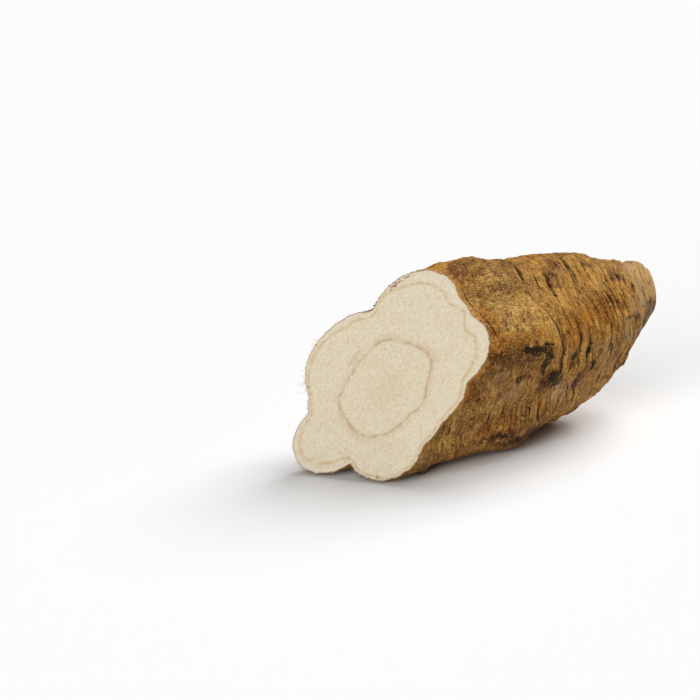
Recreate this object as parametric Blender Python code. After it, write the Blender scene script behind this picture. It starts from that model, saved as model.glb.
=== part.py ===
"""Kudzu root: one cut length of the storage root, lying on its side.

The root grew as a bundle of thick strands that fused into one body. A slanting
knife cut shows its clover-like section at one end. The other end narrows over a
shoulder into a short blunt tip. Rings of wrinkles run across the skin. It is one
piece, so it is one solid with two finishes: bark on the outside, flesh on the cut.
"""

import math
import random

import bmesh
import bpy
import numpy as np
from mathutils import Euler, Matrix, Vector

NAME = "kudzu_root"
MM = 0.001

# All lengths are in millimetres and all angles in degrees. The root is drawn along
# +X, from the cut to the tip, with +Z up. Angles round it start at +Y and pass the top.
CORE_HEIGHT = 40.0
ROUND_RADIUS = 40.0
RING_POINTS = 60
CREASE_SHARPNESS = 1.4
MERGED_CREASE_FILL = 0.2

# Each strand: sideways place and height from the core, then radius, at the cut.
# The webs are the flesh that fills the creases between strands.
STRANDS = {
    "top": (1.2, 33.2, 17.1),
    "top web": (-9.0, 27.0, 15.0),
    "right": (-17.8, 18.3, 16.8),
    "flank": (-12.5, 2.0, 19.0),
    "right web": (-11.5, -10.5, 15.5),
    "bottom right": (-8.2, -22.8, 15.5),
    "bottom left": (16.3, -24.6, 15.3),
    "left": (14.0, 8.2, 23.8),
    "left web": (18.5, -9.5, 12.2),
}

# Where a strand is thicker or thinner: strand, x, half length, extra radius.
SWELLS = (
    ("top", 44.0, 13.0, 2.2),
    ("bottom right", 20.0, 14.0, -1.8),
    ("bottom right", 60.0, 15.0, 3.2),
    ("bottom left", 92.0, 28.0, 7.6),
)

# Along the root: x, sideways shift, height of the core, size of the section, and
# how far the strands stand apart. At 0 apart they have merged into a round section.
STATIONS = (
    (-46.0, 0.0, 40.0, 1.00, 1.00),
    (0.0, 0.0, 40.0, 1.00, 1.00),
    (30.0, 0.0, 41.0, 1.01, 1.00),
    (60.0, 0.0, 43.5, 0.96, 0.80),
    (90.0, -0.5, 48.0, 0.90, 0.60),
    (108.0, -1.5, 51.0, 0.82, 0.45),
    (120.0, -3.0, 53.5, 0.70, 0.30),
    (127.0, -3.2, 55.5, 0.60, 0.15),
    (133.0, -2.5, 58.0, 0.50, 0.05),
    (139.0, -2.2, 59.5, 0.46, 0.00),
    (150.0, -2.2, 60.5, 0.43, 0.00),
)

# The blunt tip: it starts to round off, it ends, and how far its end face slants.
TIP_START = 138.5
TIP_END = 150.0
TIP_ROUNDING_POWER = 3
TIP_RING_SHARES = (0.0, 0.3, 0.56, 0.76, 0.9, 0.98)
TIP_SLANT_START = 115.0
TIP_SLANT_FULL = 142.0
TIP_SLANT = 0.30
TIP_SLANT_UP = 0.75
TIP_SLANT_LEFT = 0.50

# Ring wrinkles, by x, depth, middle angle and half span of the deepest stretch.
WRINKLES = (
    (-22.0, 0.5, 330.0, 60.0),
    (-10.0, 0.5, 290.0, 50.0),
    (3.0, 0.5, 30.0, 60.0),
    (13.0, 0.8, 208.0, 30.0),
    (17.5, 0.7, 215.0, 30.0),
    (27.0, 0.4, 20.0, 60.0),
    (38.0, 0.6, 205.0, 45.0),
    (47.0, 0.5, 110.0, 60.0),
    (57.0, 0.8, 205.0, 45.0),
    (66.0, 1.0, 110.0, 60.0),
    (73.5, 1.0, 170.0, 60.0),
    (78.5, 0.9, 130.0, 60.0),
    (83.5, 0.9, 160.0, 70.0),
    (88.0, 0.9, 185.0, 70.0),
    (92.5, 0.9, 125.0, 80.0),
    (97.0, 0.7, 150.0, 80.0),
    (102.0, 1.0, 165.0, 90.0),
    (106.5, 0.8, 140.0, 90.0),
    (110.5, 0.9, 160.0, 90.0),
    (115.0, 1.0, 175.0, 100.0),
    (119.5, 0.8, 150.0, 110.0),
    (124.0, 0.9, 180.0, 140.0),
    (129.0, 1.0, 170.0, 180.0),
    (134.0, 0.5, 150.0, 180.0),
)
WRINKLE_HALF_WIDTH = 1.2
WRINKLE_WAVE = 1.5
WRINKLE_WAVES = 4
WRINKLE_WAVE_ANGLE = 85.0
MOST_RING_GAP = 7.0

# On the far side of each wrinkle a second arc is drawn at random within these.
FAR_ARC_SHIFT = 40.0
FAR_ARC_HALF_SPANS = (60.0, 110.0)
FAR_ARC_DEPTH_SHARES = (0.5, 1.0)

# Stubs of side roots, by x, angle, radius and height.
KNOBS = (
    (9.0, 250.0, 3.4, 1.8),
    (64.0, 118.0, 3.2, 1.0),
    (70.0, 20.0, 3.6, 1.6),
    (35.0, 330.0, 3.6, 1.4),
    (101.0, 60.0, 3.4, 1.2),
)
KNOB_STEEPNESS = 2.0

# Soft lumps of the skin: radians per millimetre along, waves round, and phase.
LUMP_HEIGHT = 0.35
LUMPS = ((0.21, 2, 0.0), (0.13, -3, 1.0))

# The knife cut goes through the core at x = 0. It is turned and leans back.
CUT_TURN = 30.0
CUT_LEAN = 22.0

# The root lies on three low spots of its underside, each worn to a small flat.
REST_ROLL = 2.8
REST_PITCH = 2.2
FLAT_DEPTH = 0.7
PLANE_SNAP = 0.01

BARK_COLOUR = (0.26, 0.14, 0.05, 1.0)
BARK_ROUGHNESS = 0.75
FLESH_COLOUR = (0.76, 0.67, 0.50, 1.0)
FLESH_ROUGHNESS = 0.85
RANDOM_SEED = 11


def smooth_value(x, places, values):
    """A smooth curve through the values given at these places along the root."""
    slopes = np.gradient(values, places)
    i = np.clip(np.searchsorted(places, x) - 1, 0, len(places) - 2)
    step = places[i + 1] - places[i]
    t = (x - places[i]) / step
    rise = values[i + 1] - values[i]
    bend_in = slopes[i] * step - rise
    bend_out = rise - slopes[i + 1] * step
    return values[i] + t * rise + t * (1 - t) * (bend_in * (1 - t) + bend_out * t)


def station(x):
    table = np.array(STATIONS).T
    return [smooth_value(x, table[0], column) for column in table[1:]]


def swell(strand, x):
    extra = 0.0
    for name, middle, half_length, amount in SWELLS:
        if name == strand:
            extra += amount * math.exp(-(((x - middle) / half_length) ** 2))
    return extra


def bundle_outline(x, angles, size, apart):
    """The distance from the core to the skin: the far sides of all the strands, blended."""
    reaches = []
    for strand, (side, height, radius) in STRANDS.items():
        offset = math.hypot(side, height) * apart * size
        direction = math.atan2(height, side)
        own_radius = size * ((1 - apart) * ROUND_RADIUS + apart * radius) + swell(strand, x)
        across = offset * np.sin(angles - direction)
        inside = np.maximum(own_radius**2 - across**2, 0.0)
        reach = offset * np.cos(angles - direction) + np.sqrt(inside)
        reaches.append(np.where(inside > 0, reach, 0.0))
    reaches = np.array(reaches)
    furthest = reaches.max(axis=0)
    blend = np.log(np.exp(CREASE_SHARPNESS * (reaches - furthest)).sum(axis=0))
    fill = MERGED_CREASE_FILL + (1 - MERGED_CREASE_FILL) * apart
    return furthest + blend / CREASE_SHARPNESS * fill


def degrees_from(angles, middle):
    return (np.degrees(angles) - middle + 180.0) % 360.0 - 180.0


def arc_share(angles, middle, half_span):
    """1 at the middle angle, falling smoothly to 0 at half a span from it."""
    away = np.abs(degrees_from(angles, middle))
    return np.cos(np.clip(away / half_span, 0, 1) * math.pi / 2) ** 2


def wrinkle_depths(angles):
    """How deep each wrinkle is round the root. The far side gets an arc of its own."""
    draw = random.Random(RANDOM_SEED)
    depths = []
    for _, depth, middle, half_span in WRINKLES:
        far_middle = middle + 180.0 + draw.uniform(-FAR_ARC_SHIFT, FAR_ARC_SHIFT)
        far_half_span = draw.uniform(*FAR_ARC_HALF_SPANS)
        far_depth = depth * draw.uniform(*FAR_ARC_DEPTH_SHARES)
        near = depth * arc_share(angles, middle, half_span)
        far = far_depth * arc_share(angles, far_middle, far_half_span)
        depths.append(np.maximum(near, far))
    return depths


def relief(x, angles, depths):
    """Height of the skin above the smooth form: lumps and knobs, less the wrinkles."""
    height = np.zeros_like(angles)
    for per_mm, waves_round, phase in LUMPS:
        height += LUMP_HEIGHT * np.sin(per_mm * x + waves_round * angles + phase)
    for (place, _, _, _), depth in zip(WRINKLES, depths):
        share = max(0.0, 1.0 - abs(x - place) / WRINKLE_HALF_WIDTH)
        height -= share * depth
    for place, middle, radius, rise in KNOBS:
        across = np.radians(degrees_from(angles, middle)) * ROUND_RADIUS
        distance = np.hypot(x - place, across)
        height += rise * np.exp(-KNOB_STEEPNESS * (distance / radius) ** 2)
    return height


def ring_places():
    """Rings at both lips and the bottom of each wrinkle, and between them where it is bare."""
    lips = (-WRINKLE_HALF_WIDTH, 0.0, WRINKLE_HALF_WIDTH)
    places = [place + lip for place, _, _, _ in WRINKLES for lip in lips]
    places += [STATIONS[0][0]]
    places += [TIP_START + (TIP_END - TIP_START) * share for share in TIP_RING_SHARES]
    places.sort()
    filled = []
    for start, end in zip(places, places[1:] + [TIP_END]):
        parts = math.ceil((end - start) / MOST_RING_GAP) if end < TIP_START else 1
        filled += [start + (end - start) * k / parts for k in range(parts)]
    return filled


def ring(x, angles, depths):
    """The points of one ring. It waves with the wrinkles and slants at the tip."""
    side, height, size, apart = station(x)
    rounding = max(0.0, (x - TIP_START) / (TIP_END - TIP_START))
    size = size * math.sqrt(1 - rounding**TIP_ROUNDING_POWER)
    fade = 1.0 if x < TIP_START else 1 - rounding
    radius = bundle_outline(x, angles, size, apart)
    radius = radius + relief(x, angles, depths) * fade
    wave = WRINKLE_WAVE * np.cos(WRINKLE_WAVES * (angles - math.radians(WRINKLE_WAVE_ANGLE)))
    past = (x - TIP_SLANT_START) / (TIP_SLANT_FULL - TIP_SLANT_START)
    slant = TIP_SLANT * min(max(past, 0.0), 1.0)
    lean = TIP_SLANT_UP * np.sin(angles) + TIP_SLANT_LEFT * np.cos(angles)
    return np.stack(
        [
            x + wave * fade + slant * radius * lean,
            side + radius * np.cos(angles),
            height + radius * np.sin(angles),
        ],
        axis=-1,
    )


def loft(mesh):
    """Skin through all the rings, open at the cut end and closed at the tip."""
    angles = np.arange(RING_POINTS) * 2 * math.pi / RING_POINTS
    depths = wrinkle_depths(angles)
    last = None
    for x in ring_places():
        verts = [mesh.verts.new(Vector(point) * MM) for point in ring(x, angles, depths)]
        if last:
            for k in range(RING_POINTS):
                after = (k + 1) % RING_POINTS
                mesh.faces.new((last[k], last[after], verts[after], verts[k]))
        last = verts
    side, height, _, _ = station(TIP_END)
    end = mesh.verts.new(Vector((TIP_END, side, height)) * MM)
    for k in range(RING_POINTS):
        mesh.faces.new((last[k], last[(k + 1) % RING_POINTS], end))
    for face in mesh.faces:
        face.smooth = True


def cut_normal():
    """The way the cut face looks: away from the tip, to the right and up."""
    turn = math.radians(CUT_TURN)
    lean = math.radians(CUT_LEAN)
    level = math.cos(lean)
    return Vector((-math.cos(turn) * level, -math.sin(turn) * level, math.sin(lean)))


def slice_off(mesh, point, normal, material_index):
    """Cuts away what lies beyond the plane and closes the cut with flat faces."""
    bmesh.ops.bisect_plane(
        mesh,
        geom=mesh.verts[:] + mesh.edges[:] + mesh.faces[:],
        dist=PLANE_SNAP * MM,
        plane_co=point,
        plane_no=normal,
        clear_outer=True,
    )
    rim = [edge for edge in mesh.edges if edge.is_boundary]
    made = bmesh.ops.holes_fill(mesh, edges=rim, sides=0)
    for face in made["faces"]:
        face.smooth = False
        face.material_index = material_index


def lay_down(mesh):
    """Turns the root onto its low spots and flattens them. The origin is under its middle."""
    turn = Euler((math.radians(REST_ROLL), math.radians(REST_PITCH), 0.0)).to_matrix().to_4x4()
    mesh.transform(turn)
    lowest = min(vert.co.z for vert in mesh.verts)
    mesh.transform(Matrix.Translation((0.0, 0.0, -lowest - FLAT_DEPTH * MM)))
    slice_off(mesh, Vector((0.0, 0.0, 0.0)), Vector((0.0, 0.0, -1.0)), 0)
    along = [vert.co.x for vert in mesh.verts]
    across = [vert.co.y for vert in mesh.verts]
    middle = Vector(((min(along) + max(along)) / 2, (min(across) + max(across)) / 2, 0.0))
    mesh.transform(Matrix.Translation(-middle))


def material(name, colour, roughness):
    made = bpy.data.materials.new(name)
    made.use_nodes = True
    shader = made.node_tree.nodes["Principled BSDF"]
    shader.inputs["Base Color"].default_value = colour
    shader.inputs["Roughness"].default_value = roughness
    shader.inputs["Metallic"].default_value = 0.0
    return made


def build_root(collection):
    mesh = bmesh.new()
    loft(mesh)
    slice_off(mesh, Vector((0.0, 0.0, CORE_HEIGHT)) * MM, cut_normal(), 1)
    lay_down(mesh)
    bmesh.ops.recalc_face_normals(mesh, faces=mesh.faces[:])
    data = bpy.data.meshes.new(NAME)
    mesh.to_mesh(data)
    mesh.free()
    data.materials.append(material("bark", BARK_COLOUR, BARK_ROUGHNESS))
    data.materials.append(material("flesh", FLESH_COLOUR, FLESH_ROUGHNESS))
    root = bpy.data.objects.new(NAME, data)
    collection.objects.link(root)
    return root


def main():
    for obj in list(bpy.data.objects):
        bpy.data.objects.remove(obj)
    collection = bpy.data.collections.new(NAME)
    bpy.context.scene.collection.children.link(collection)
    build_root(collection)


main()
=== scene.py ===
# %% [markdown]
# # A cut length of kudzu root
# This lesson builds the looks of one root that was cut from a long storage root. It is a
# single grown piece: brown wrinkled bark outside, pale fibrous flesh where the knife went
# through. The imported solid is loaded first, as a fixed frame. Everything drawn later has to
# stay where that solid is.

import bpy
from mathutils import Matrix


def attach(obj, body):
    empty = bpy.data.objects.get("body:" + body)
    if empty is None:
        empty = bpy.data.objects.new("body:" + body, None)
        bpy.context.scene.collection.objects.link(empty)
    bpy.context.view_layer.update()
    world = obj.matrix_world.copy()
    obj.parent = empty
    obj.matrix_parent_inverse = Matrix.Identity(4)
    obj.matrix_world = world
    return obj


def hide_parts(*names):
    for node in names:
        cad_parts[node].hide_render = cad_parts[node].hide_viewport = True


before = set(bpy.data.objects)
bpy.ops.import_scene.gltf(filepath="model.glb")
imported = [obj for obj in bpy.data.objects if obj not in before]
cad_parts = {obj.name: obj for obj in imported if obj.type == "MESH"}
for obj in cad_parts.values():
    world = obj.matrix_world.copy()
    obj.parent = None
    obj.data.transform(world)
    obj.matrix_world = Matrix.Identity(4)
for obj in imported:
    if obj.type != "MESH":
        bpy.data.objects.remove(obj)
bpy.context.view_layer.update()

# %% Tools used below
import math

import bmesh
import bpy
import numpy as np
from mathutils import Euler, Matrix, Quaternion, Vector, noise

MM = 0.001
scene = bpy.context.scene
print("Blender", bpy.app.version_string)

# %% [markdown]
# ## Camera
# The camera comes first, because every later choice is judged through it. It stands low in
# front of the cut, a little over arm's length away, with a short telephoto lens, as for a
# product shot. The place and the aim are in millimetres, in the solid's own frame. The root
# lies slightly rolled, so the camera is rolled by a small angle too.

# %% Camera
CAMERA_PLACE = Vector((-447.16, -592.47, 272.63))
CAMERA_AIM = Vector((-69.77, 11.48, 57.34))
CAMERA_ROLL = 3.52
LENS_MM = 85.0

camera_data = bpy.data.cameras.new("camera")
camera_data.lens = LENS_MM
camera_data.clip_start = 0.05
camera_data.clip_end = 50.0
camera = bpy.data.objects.new("camera", camera_data)
scene.collection.objects.link(camera)
camera.location = CAMERA_PLACE * MM
level = (CAMERA_AIM - CAMERA_PLACE).to_track_quat("-Z", "Y")
camera.rotation_mode = "QUATERNION"
camera.rotation_quaternion = level @ Quaternion((0, 0, 1), -math.radians(CAMERA_ROLL))
scene.camera = camera
print("camera is", round((CAMERA_AIM - CAMERA_PLACE).length), "mm from its aim")

# %% [markdown]
# ## Floor and light
# The picture is a studio shot on white: the floor melts into the background and only a soft
# grey shadow shows. A curved backdrop would do it, and so does a white plane many metres
# wide, lit almost to full white, which is simpler. A white world stands for the walls of the
# light tent. The three lamps are suns made very wide, like big softboxes: their light is the
# same all over the floor, so the far floor stays white too. The main one stands behind the
# root and to its right, which puts the shadow in front of the cut. A low one shines on the
# cut and hardly on the floor, and a weak one fills from the front.

# %% Floor and world
FLOOR_HALF = 12.0
WORLD_STRENGTH = 0.03

corners = [(x * FLOOR_HALF, y * FLOOR_HALF, 0) for x, y in ((-1, -1), (1, -1), (1, 1), (-1, 1))]
floor_data = bpy.data.meshes.new("floor")
floor_data.from_pydata(corners, [], [(0, 1, 2, 3)])
floor = bpy.data.objects.new("floor", floor_data)
scene.collection.objects.link(floor)

world = bpy.data.worlds.new("light_tent")
world.use_nodes = True
sky = world.node_tree.nodes["Background"]
sky.inputs["Color"].default_value = (1, 1, 1, 1)
sky.inputs["Strength"].default_value = WORLD_STRENGTH
scene.world = world
print("floor is", 2 * FLOOR_HALF, "m wide")

# %% Lamps
# Each softbox: the way to it from the root, strength, and how wide it looks, in degrees.
SOFTBOXES = {
    "main_softbox": ((0.67, 0.04, 0.74), 3.2, 45.0),
    "low_fill": ((-0.89, -0.38, 0.26), 1.45, 40.0),
    "front_fill": ((-0.47, -0.44, 0.77), 0.7, 45.0),
}
for name, (way, strength, wide) in SOFTBOXES.items():
    lamp_data = bpy.data.lights.new(name, "SUN")
    lamp_data.energy = strength
    lamp_data.angle = math.radians(wide)
    lamp = bpy.data.objects.new(name, lamp_data)
    lamp.rotation_euler = Vector(way).to_track_quat("Z", "Y").to_euler()
    scene.collection.objects.link(lamp)
scene.view_settings.view_transform = "Standard"
scene.view_settings.look = "None"
print(len(SOFTBOXES), "softboxes")

# %% [markdown]
# ## Form: a bundle of strands
# This root grew as several thick strands that fused, so its section is a clover, not a
# circle. The form could be sculpted, but then it would drift away from the solid. Here it is
# drawn again from the same few strands, only with many more points. All drawing is in
# millimetres, along +X from the cut to the tip, and turned into place at the end. Angles
# round the root start at +Y and pass the top at 90 degrees.

# %% The strands and how they run
CORE_HEIGHT = 40.0
ROUND_RADIUS = 40.0
CREASE_SHARPNESS = 1.4
MERGED_CREASE_FILL = 0.2
# Each strand: sideways place and height from the core, then radius, at the cut.
STRANDS = {
    "top": (1.2, 33.2, 17.1),
    "top web": (-9.0, 27.0, 15.0),
    "right": (-17.8, 18.3, 16.8),
    "flank": (-12.5, 2.0, 19.0),
    "right web": (-11.5, -10.5, 15.5),
    "bottom right": (-8.2, -22.8, 15.5),
    "bottom left": (16.3, -24.6, 15.3),
    "left": (14.0, 8.2, 23.8),
    "left web": (18.5, -9.5, 12.2),
}
# Where a strand is thicker or thinner: strand, x, half length, extra radius.
SWELLS = (
    ("top", 44, 13, 2.2), ("bottom right", 20, 14, -1.8), ("bottom right", 60, 15, 3.2),
    ("bottom left", 92, 28, 7.6),
)
# Along the root: x, sideways shift, height of the core, size, and how far the strands
# stand apart.
STATIONS = (
    (-46, 0, 40, 1, 1), (0, 0, 40, 1, 1), (30, 0, 41, 1.01, 1), (60, 0, 43.5, 0.96, 0.8),
    (90, -0.5, 48, 0.9, 0.6), (108, -1.5, 51, 0.82, 0.45), (120, -3, 53.5, 0.7, 0.3),
    (127, -3.2, 55.5, 0.6, 0.15), (133, -2.5, 58, 0.5, 0.05), (139, -2.2, 59.5, 0.46, 0),
    (150, -2.2, 60.5, 0.43, 0),
)


def smooth_value(x, places, values):
    """A smooth curve through the values given at these places along the root."""
    slopes = np.gradient(values, places)
    i = np.clip(np.searchsorted(places, x) - 1, 0, len(places) - 2)
    step = places[i + 1] - places[i]
    t = (x - places[i]) / step
    rise = values[i + 1] - values[i]
    bend_in = slopes[i] * step - rise
    bend_out = rise - slopes[i + 1] * step
    return values[i] + t * rise + t * (1 - t) * (bend_in * (1 - t) + bend_out * t)


def bundle_outline(x, angles, size, apart):
    """The distance from the core to the skin: the far sides of all the strands, blended."""
    reaches = []
    for strand, (side, height, radius) in STRANDS.items():
        own_radius = size * ((1 - apart) * ROUND_RADIUS + apart * radius)
        for name, middle, half_length, amount in SWELLS:
            if name == strand:
                own_radius = own_radius + amount * np.exp(-(((x - middle) / half_length) ** 2))
        offset = math.hypot(side, height) * apart * size
        direction = math.atan2(height, side)
        across = offset * np.sin(angles - direction)
        inside = np.maximum(own_radius**2 - across**2, 0.0)
        reach = offset * np.cos(angles - direction) + np.sqrt(inside)
        reaches.append(np.where(inside > 0, reach, 0.0))
    reaches = np.array(reaches)
    furthest = reaches.max(axis=0)
    blend = np.log(np.exp(CREASE_SHARPNESS * (reaches - furthest)).sum(axis=0))
    fill = MERGED_CREASE_FILL + (1 - MERGED_CREASE_FILL) * apart
    return furthest + blend / CREASE_SHARPNESS * fill


print(len(STRANDS), "strands and webs")

# %% [markdown]
# ## A fine net of rings
# The skin is a net: rings across the root, joined lengthwise. Real bark shows wrinkles about
# a millimetre wide. Bump in the material would leave the outline smooth, so the rings lie
# about half a millimetre apart and the points on a ring about one. That is fine enough to
# carve wrinkles into the mesh itself, and coarse enough to stay under 200,000 triangles.

# %% Rings and points
X_START, X_FINE, X_END = -46.0, 5.0, 150.0
COARSE_STEP, FINE_STEP = 0.65, 0.46
AROUND = 264
TIP_START = 138.5
TIP_ROUNDING_POWER = 3.4
# The tip closes in rings that crowd together towards its end.
TIP_RINGS = 30


def ramp(value, start, full):
    """0 up to start, 1 from full on, even in between. Full may also lie below start."""
    return np.clip((value - start) / (full - start), 0, 1)


tip_shares = np.sin(np.linspace(0, math.pi / 2, TIP_RINGS + 1))[:-1]
ring_x = np.concatenate([
    np.arange(X_START, X_FINE, COARSE_STEP),
    np.arange(X_FINE, TIP_START - FINE_STEP / 2, FINE_STEP),
    TIP_START + (X_END - TIP_START) * tip_shares,
])
x = ring_x[:, None]
angles = (np.arange(AROUND) * 2 * math.pi / AROUND)[None, :]
stations = np.array(STATIONS).T
side, height, size, apart = (smooth_value(x, stations[0], column) for column in stations[1:])
rounding = ramp(x, TIP_START, X_END)
size = size * np.sqrt(1 - rounding**TIP_ROUNDING_POWER)
radius = bundle_outline(x, angles, size, apart)
print("net of", len(ring_x), "rings and", AROUND, "points, thickest", round(2 * radius.max()), "mm")

# %% [markdown]
# ## Wrinkles
# A storage root shrinks lengthwise as it ages, and its bark folds into rings. Each ring is a
# sharp crease with a swollen lip on both sides, and it runs only part of the way round.
# Displacing the mesh by an image could do this, but a list of creases can be placed where
# the real ones are, and the same list tells the material where dirt has gathered. The deep
# ones are those of the solid. The fine ones are listed one by one on the side that is seen
# best and drawn at random elsewhere, always from the same seed.

# %% Deep wrinkles
# Each wrinkle: x, depth, middle angle and half span of the deepest stretch.
DEEP_WRINKLES = (
    (-22, 0.5, 330, 60), (-10, 0.5, 290, 50), (3, 0.5, 30, 60), (13, 0.8, 208, 30), (17.5, 0.7, 215, 30),
    (27, 0.4, 20, 60), (38, 0.6, 205, 45), (57, 0.8, 205, 45), (66, 1, 110, 60), (73.5, 1, 170, 60),
    (78.5, 0.9, 130, 60), (83.5, 0.9, 160, 70), (88, 0.9, 185, 70), (92.5, 0.9, 125, 80),
    (97, 0.7, 150, 80), (102, 1, 165, 90), (106.5, 0.8, 140, 90), (110.5, 0.9, 160, 90), (115, 1, 175, 100),
    (119.5, 0.8, 150, 110), (124, 0.9, 180, 140), (129, 1, 170, 180), (134, 0.5, 150, 180),
)
RANDOM_SEED = 11
DEEP_SHARE = 0.8
NEAR_DIRT, FAR_DIRT = 0.35, 0.6
draw = np.random.default_rng(RANDOM_SEED)

# Each crease: its path as (x, angle) points, depth, and how dark its bottom is.
creases = []


def add_arc(place, middle, half_span, depth, lean, darkness):
    """A crease across the root, leaning along x by so many millimetres per radian."""
    ends = [(place + lean * math.radians(away), middle + away) for away in (-half_span, 0, half_span)]
    creases.append((ends, depth, darkness))


for place, depth, middle, half_span in DEEP_WRINKLES:
    add_arc(place, middle, half_span, depth * DEEP_SHARE, 0.0, NEAR_DIRT * depth)
    far_middle = middle + 180 + draw.uniform(-40, 40)
    add_arc(place, far_middle, draw.uniform(60, 110), depth * draw.uniform(0.5, 1), 0.0, FAR_DIRT)
print(len(creases), "deep creases")

# %% Fine creases
# Those of the near side: depth, then x and angle of each point in turn.
NEAR_CREASES = (
    (0.8, 67.6, 80, 65.8, 92, 66, 104, 66.8, 117),
    (0.75, 67, 122, 68.5, 132, 70.3, 142, 71.6, 152, 72.2, 164, 73.2, 176, 74.2, 198),
    (0.4, 72.6, 102, 73.2, 114, 73.4, 125), (0.5, 78.2, 104, 78.8, 118, 78.8, 129),
    (0.55, 92.6, 86, 93.2, 100, 94.4, 116, 95.2, 128), (0.4, 94, 129, 95.8, 140, 97.6, 147, 101, 152),
    (0.5, 106, 131, 107.4, 144, 108.2, 159), (0.4, 110.8, 118, 112.2, 132, 112.6, 143),
    (0.6, 82.8, 140, 83.4, 152, 83.6, 168, 83.2, 192),
    (0.6, 88.4, 144, 88.6, 158, 89.2, 172, 89.6, 184, 88.8, 198),
    (0.5, 102.2, 160, 103.2, 176, 104.6, 190, 103.4, 206, 102.8, 228), (0.5, 80.4, 197, 82, 205, 83.2, 215),
    (0.7, 83, 194, 86, 203, 88.2, 211, 89, 225), (0.45, 79, 205, 79.2, 219),
    (0.9, 68.4, 204, 66.6, 212, 67.4, 221, 70, 230), (0.7, 72.4, 156, 72.8, 168, 73.2, 182, 73.8, 194),
    (0.8, 88.2, 163, 88.8, 172, 89.8, 181, 91, 188), (0.8, 83, 197, 84.6, 204, 87.4, 212),
    (0.5, 60.4, 200, 60, 208, 60.6, 217), (0.6, 100.4, 139, 101.2, 146, 101.4, 152),
    (0.55, 59.2, 202, 58, 210, 57.8, 224), (0.5, 38, 181, 38.2, 194, 38, 206, 38.8, 219),
    (0.5, 13.2, 197, 14.2, 212, 14.6, 227), (0.45, 17.8, 203, 18.4, 216, 18, 229),
    (0.35, 11, 202, 12.2, 214, 12.6, 225), (0.35, 51, 204, 51.8, 214, 51, 223),
    (0.5, 112, 190, 113.5, 204, 113, 219),
    (0.5, 30.2, 101, 31.4, 111, 33.4, 119, 35.6, 127, 37.2, 137, 38.6, 150),
    (0.35, 110, 94, 112, 108, 112.6, 119), (0.35, 100, 94, 101, 110, 102.2, 125),
    (0.35, 86, 94, 87, 108, 87, 121), (0.45, 117, 126, 118, 144, 118.4, 159),
    (0.45, 121.5, 98, 123.5, 118, 124.5, 135), (0.35, 76.5, 140, 77.2, 152, 77, 162),
    (0.35, 97.5, 160, 98, 174, 99, 190), (0.4, 107.5, 170, 109, 186, 108.5, 204),
)
# How many are drawn at random, over which stretch of x, and how deep at most.
RANDOM_CREASES = ((26, -46, 40, 0.3), (34, 40, 80, 0.3), (54, 78, 131, 0.34))
# Their least depth, half spans in degrees, and the mean and spread of their lean.
SHALLOWEST, HALF_SPANS, LEANS = 0.1, (8, 36), (0, 2)
# How dark the bottoms of the near ones are, and how much darker they get with depth.
NEAR_DARK, DARK_WITH_DEPTH = 0.55, 0.7

for depth, *way in NEAR_CREASES:
    path = list(zip(way[::2], way[1::2]))
    creases.append((path, depth, min(1.0, NEAR_DARK + DARK_WITH_DEPTH * depth)))
for count, start, end, deepest in RANDOM_CREASES:
    for _ in range(count):
        depth = draw.uniform(SHALLOWEST, deepest)
        place, middle, half_span = draw.uniform(start, end), draw.uniform(0, 360), draw.uniform(*HALF_SPANS)
        add_arc(place, middle, half_span, depth, draw.normal(*LEANS), depth)
print(len(creases), "creases in all")

# %% Carve the creases
CREASE_HALF_WIDTH = 0.38
# A crease in profile, in shares of its depth: sharp bottom, broad trough, swollen lips.
BOTTOM, TROUGH, LIP = -0.7, -0.4, 0.26
# How far the trough reaches, where the lips lie and how wide they are, in half widths.
TROUGH_REACH, LIP_PLACE, LIP_WIDTH = 3.4, 2.6, 1.3
REACH = 9.0
# Powers that make its bottom steep and its ends fade, and how its width grows with depth.
STEEPNESS, END_POWER = 1.6, 0.7
THINNEST, WIDER_WITH_DEPTH = 0.75, 0.8
# It wavers along x by so many millimetres, so many times round, and its dirt comes and goes.
WAVERS, TIMES_ROUND, DIRT_TIMES, DIRT_CHANGE = (0.1, 0.45), (5, 14), (9, 22), 0.22
ANY_PHASE = (0, 6.3)
fade = 1 - rounding
relief, dirt, lip_wear_and_highlight = np.zeros((3, *radius.shape))


def degrees_from(middle):
    """How far each point lies from this angle, from -180 to 180 degrees."""
    return (np.degrees(angles) - middle + 180) % 360 - 180


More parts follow.
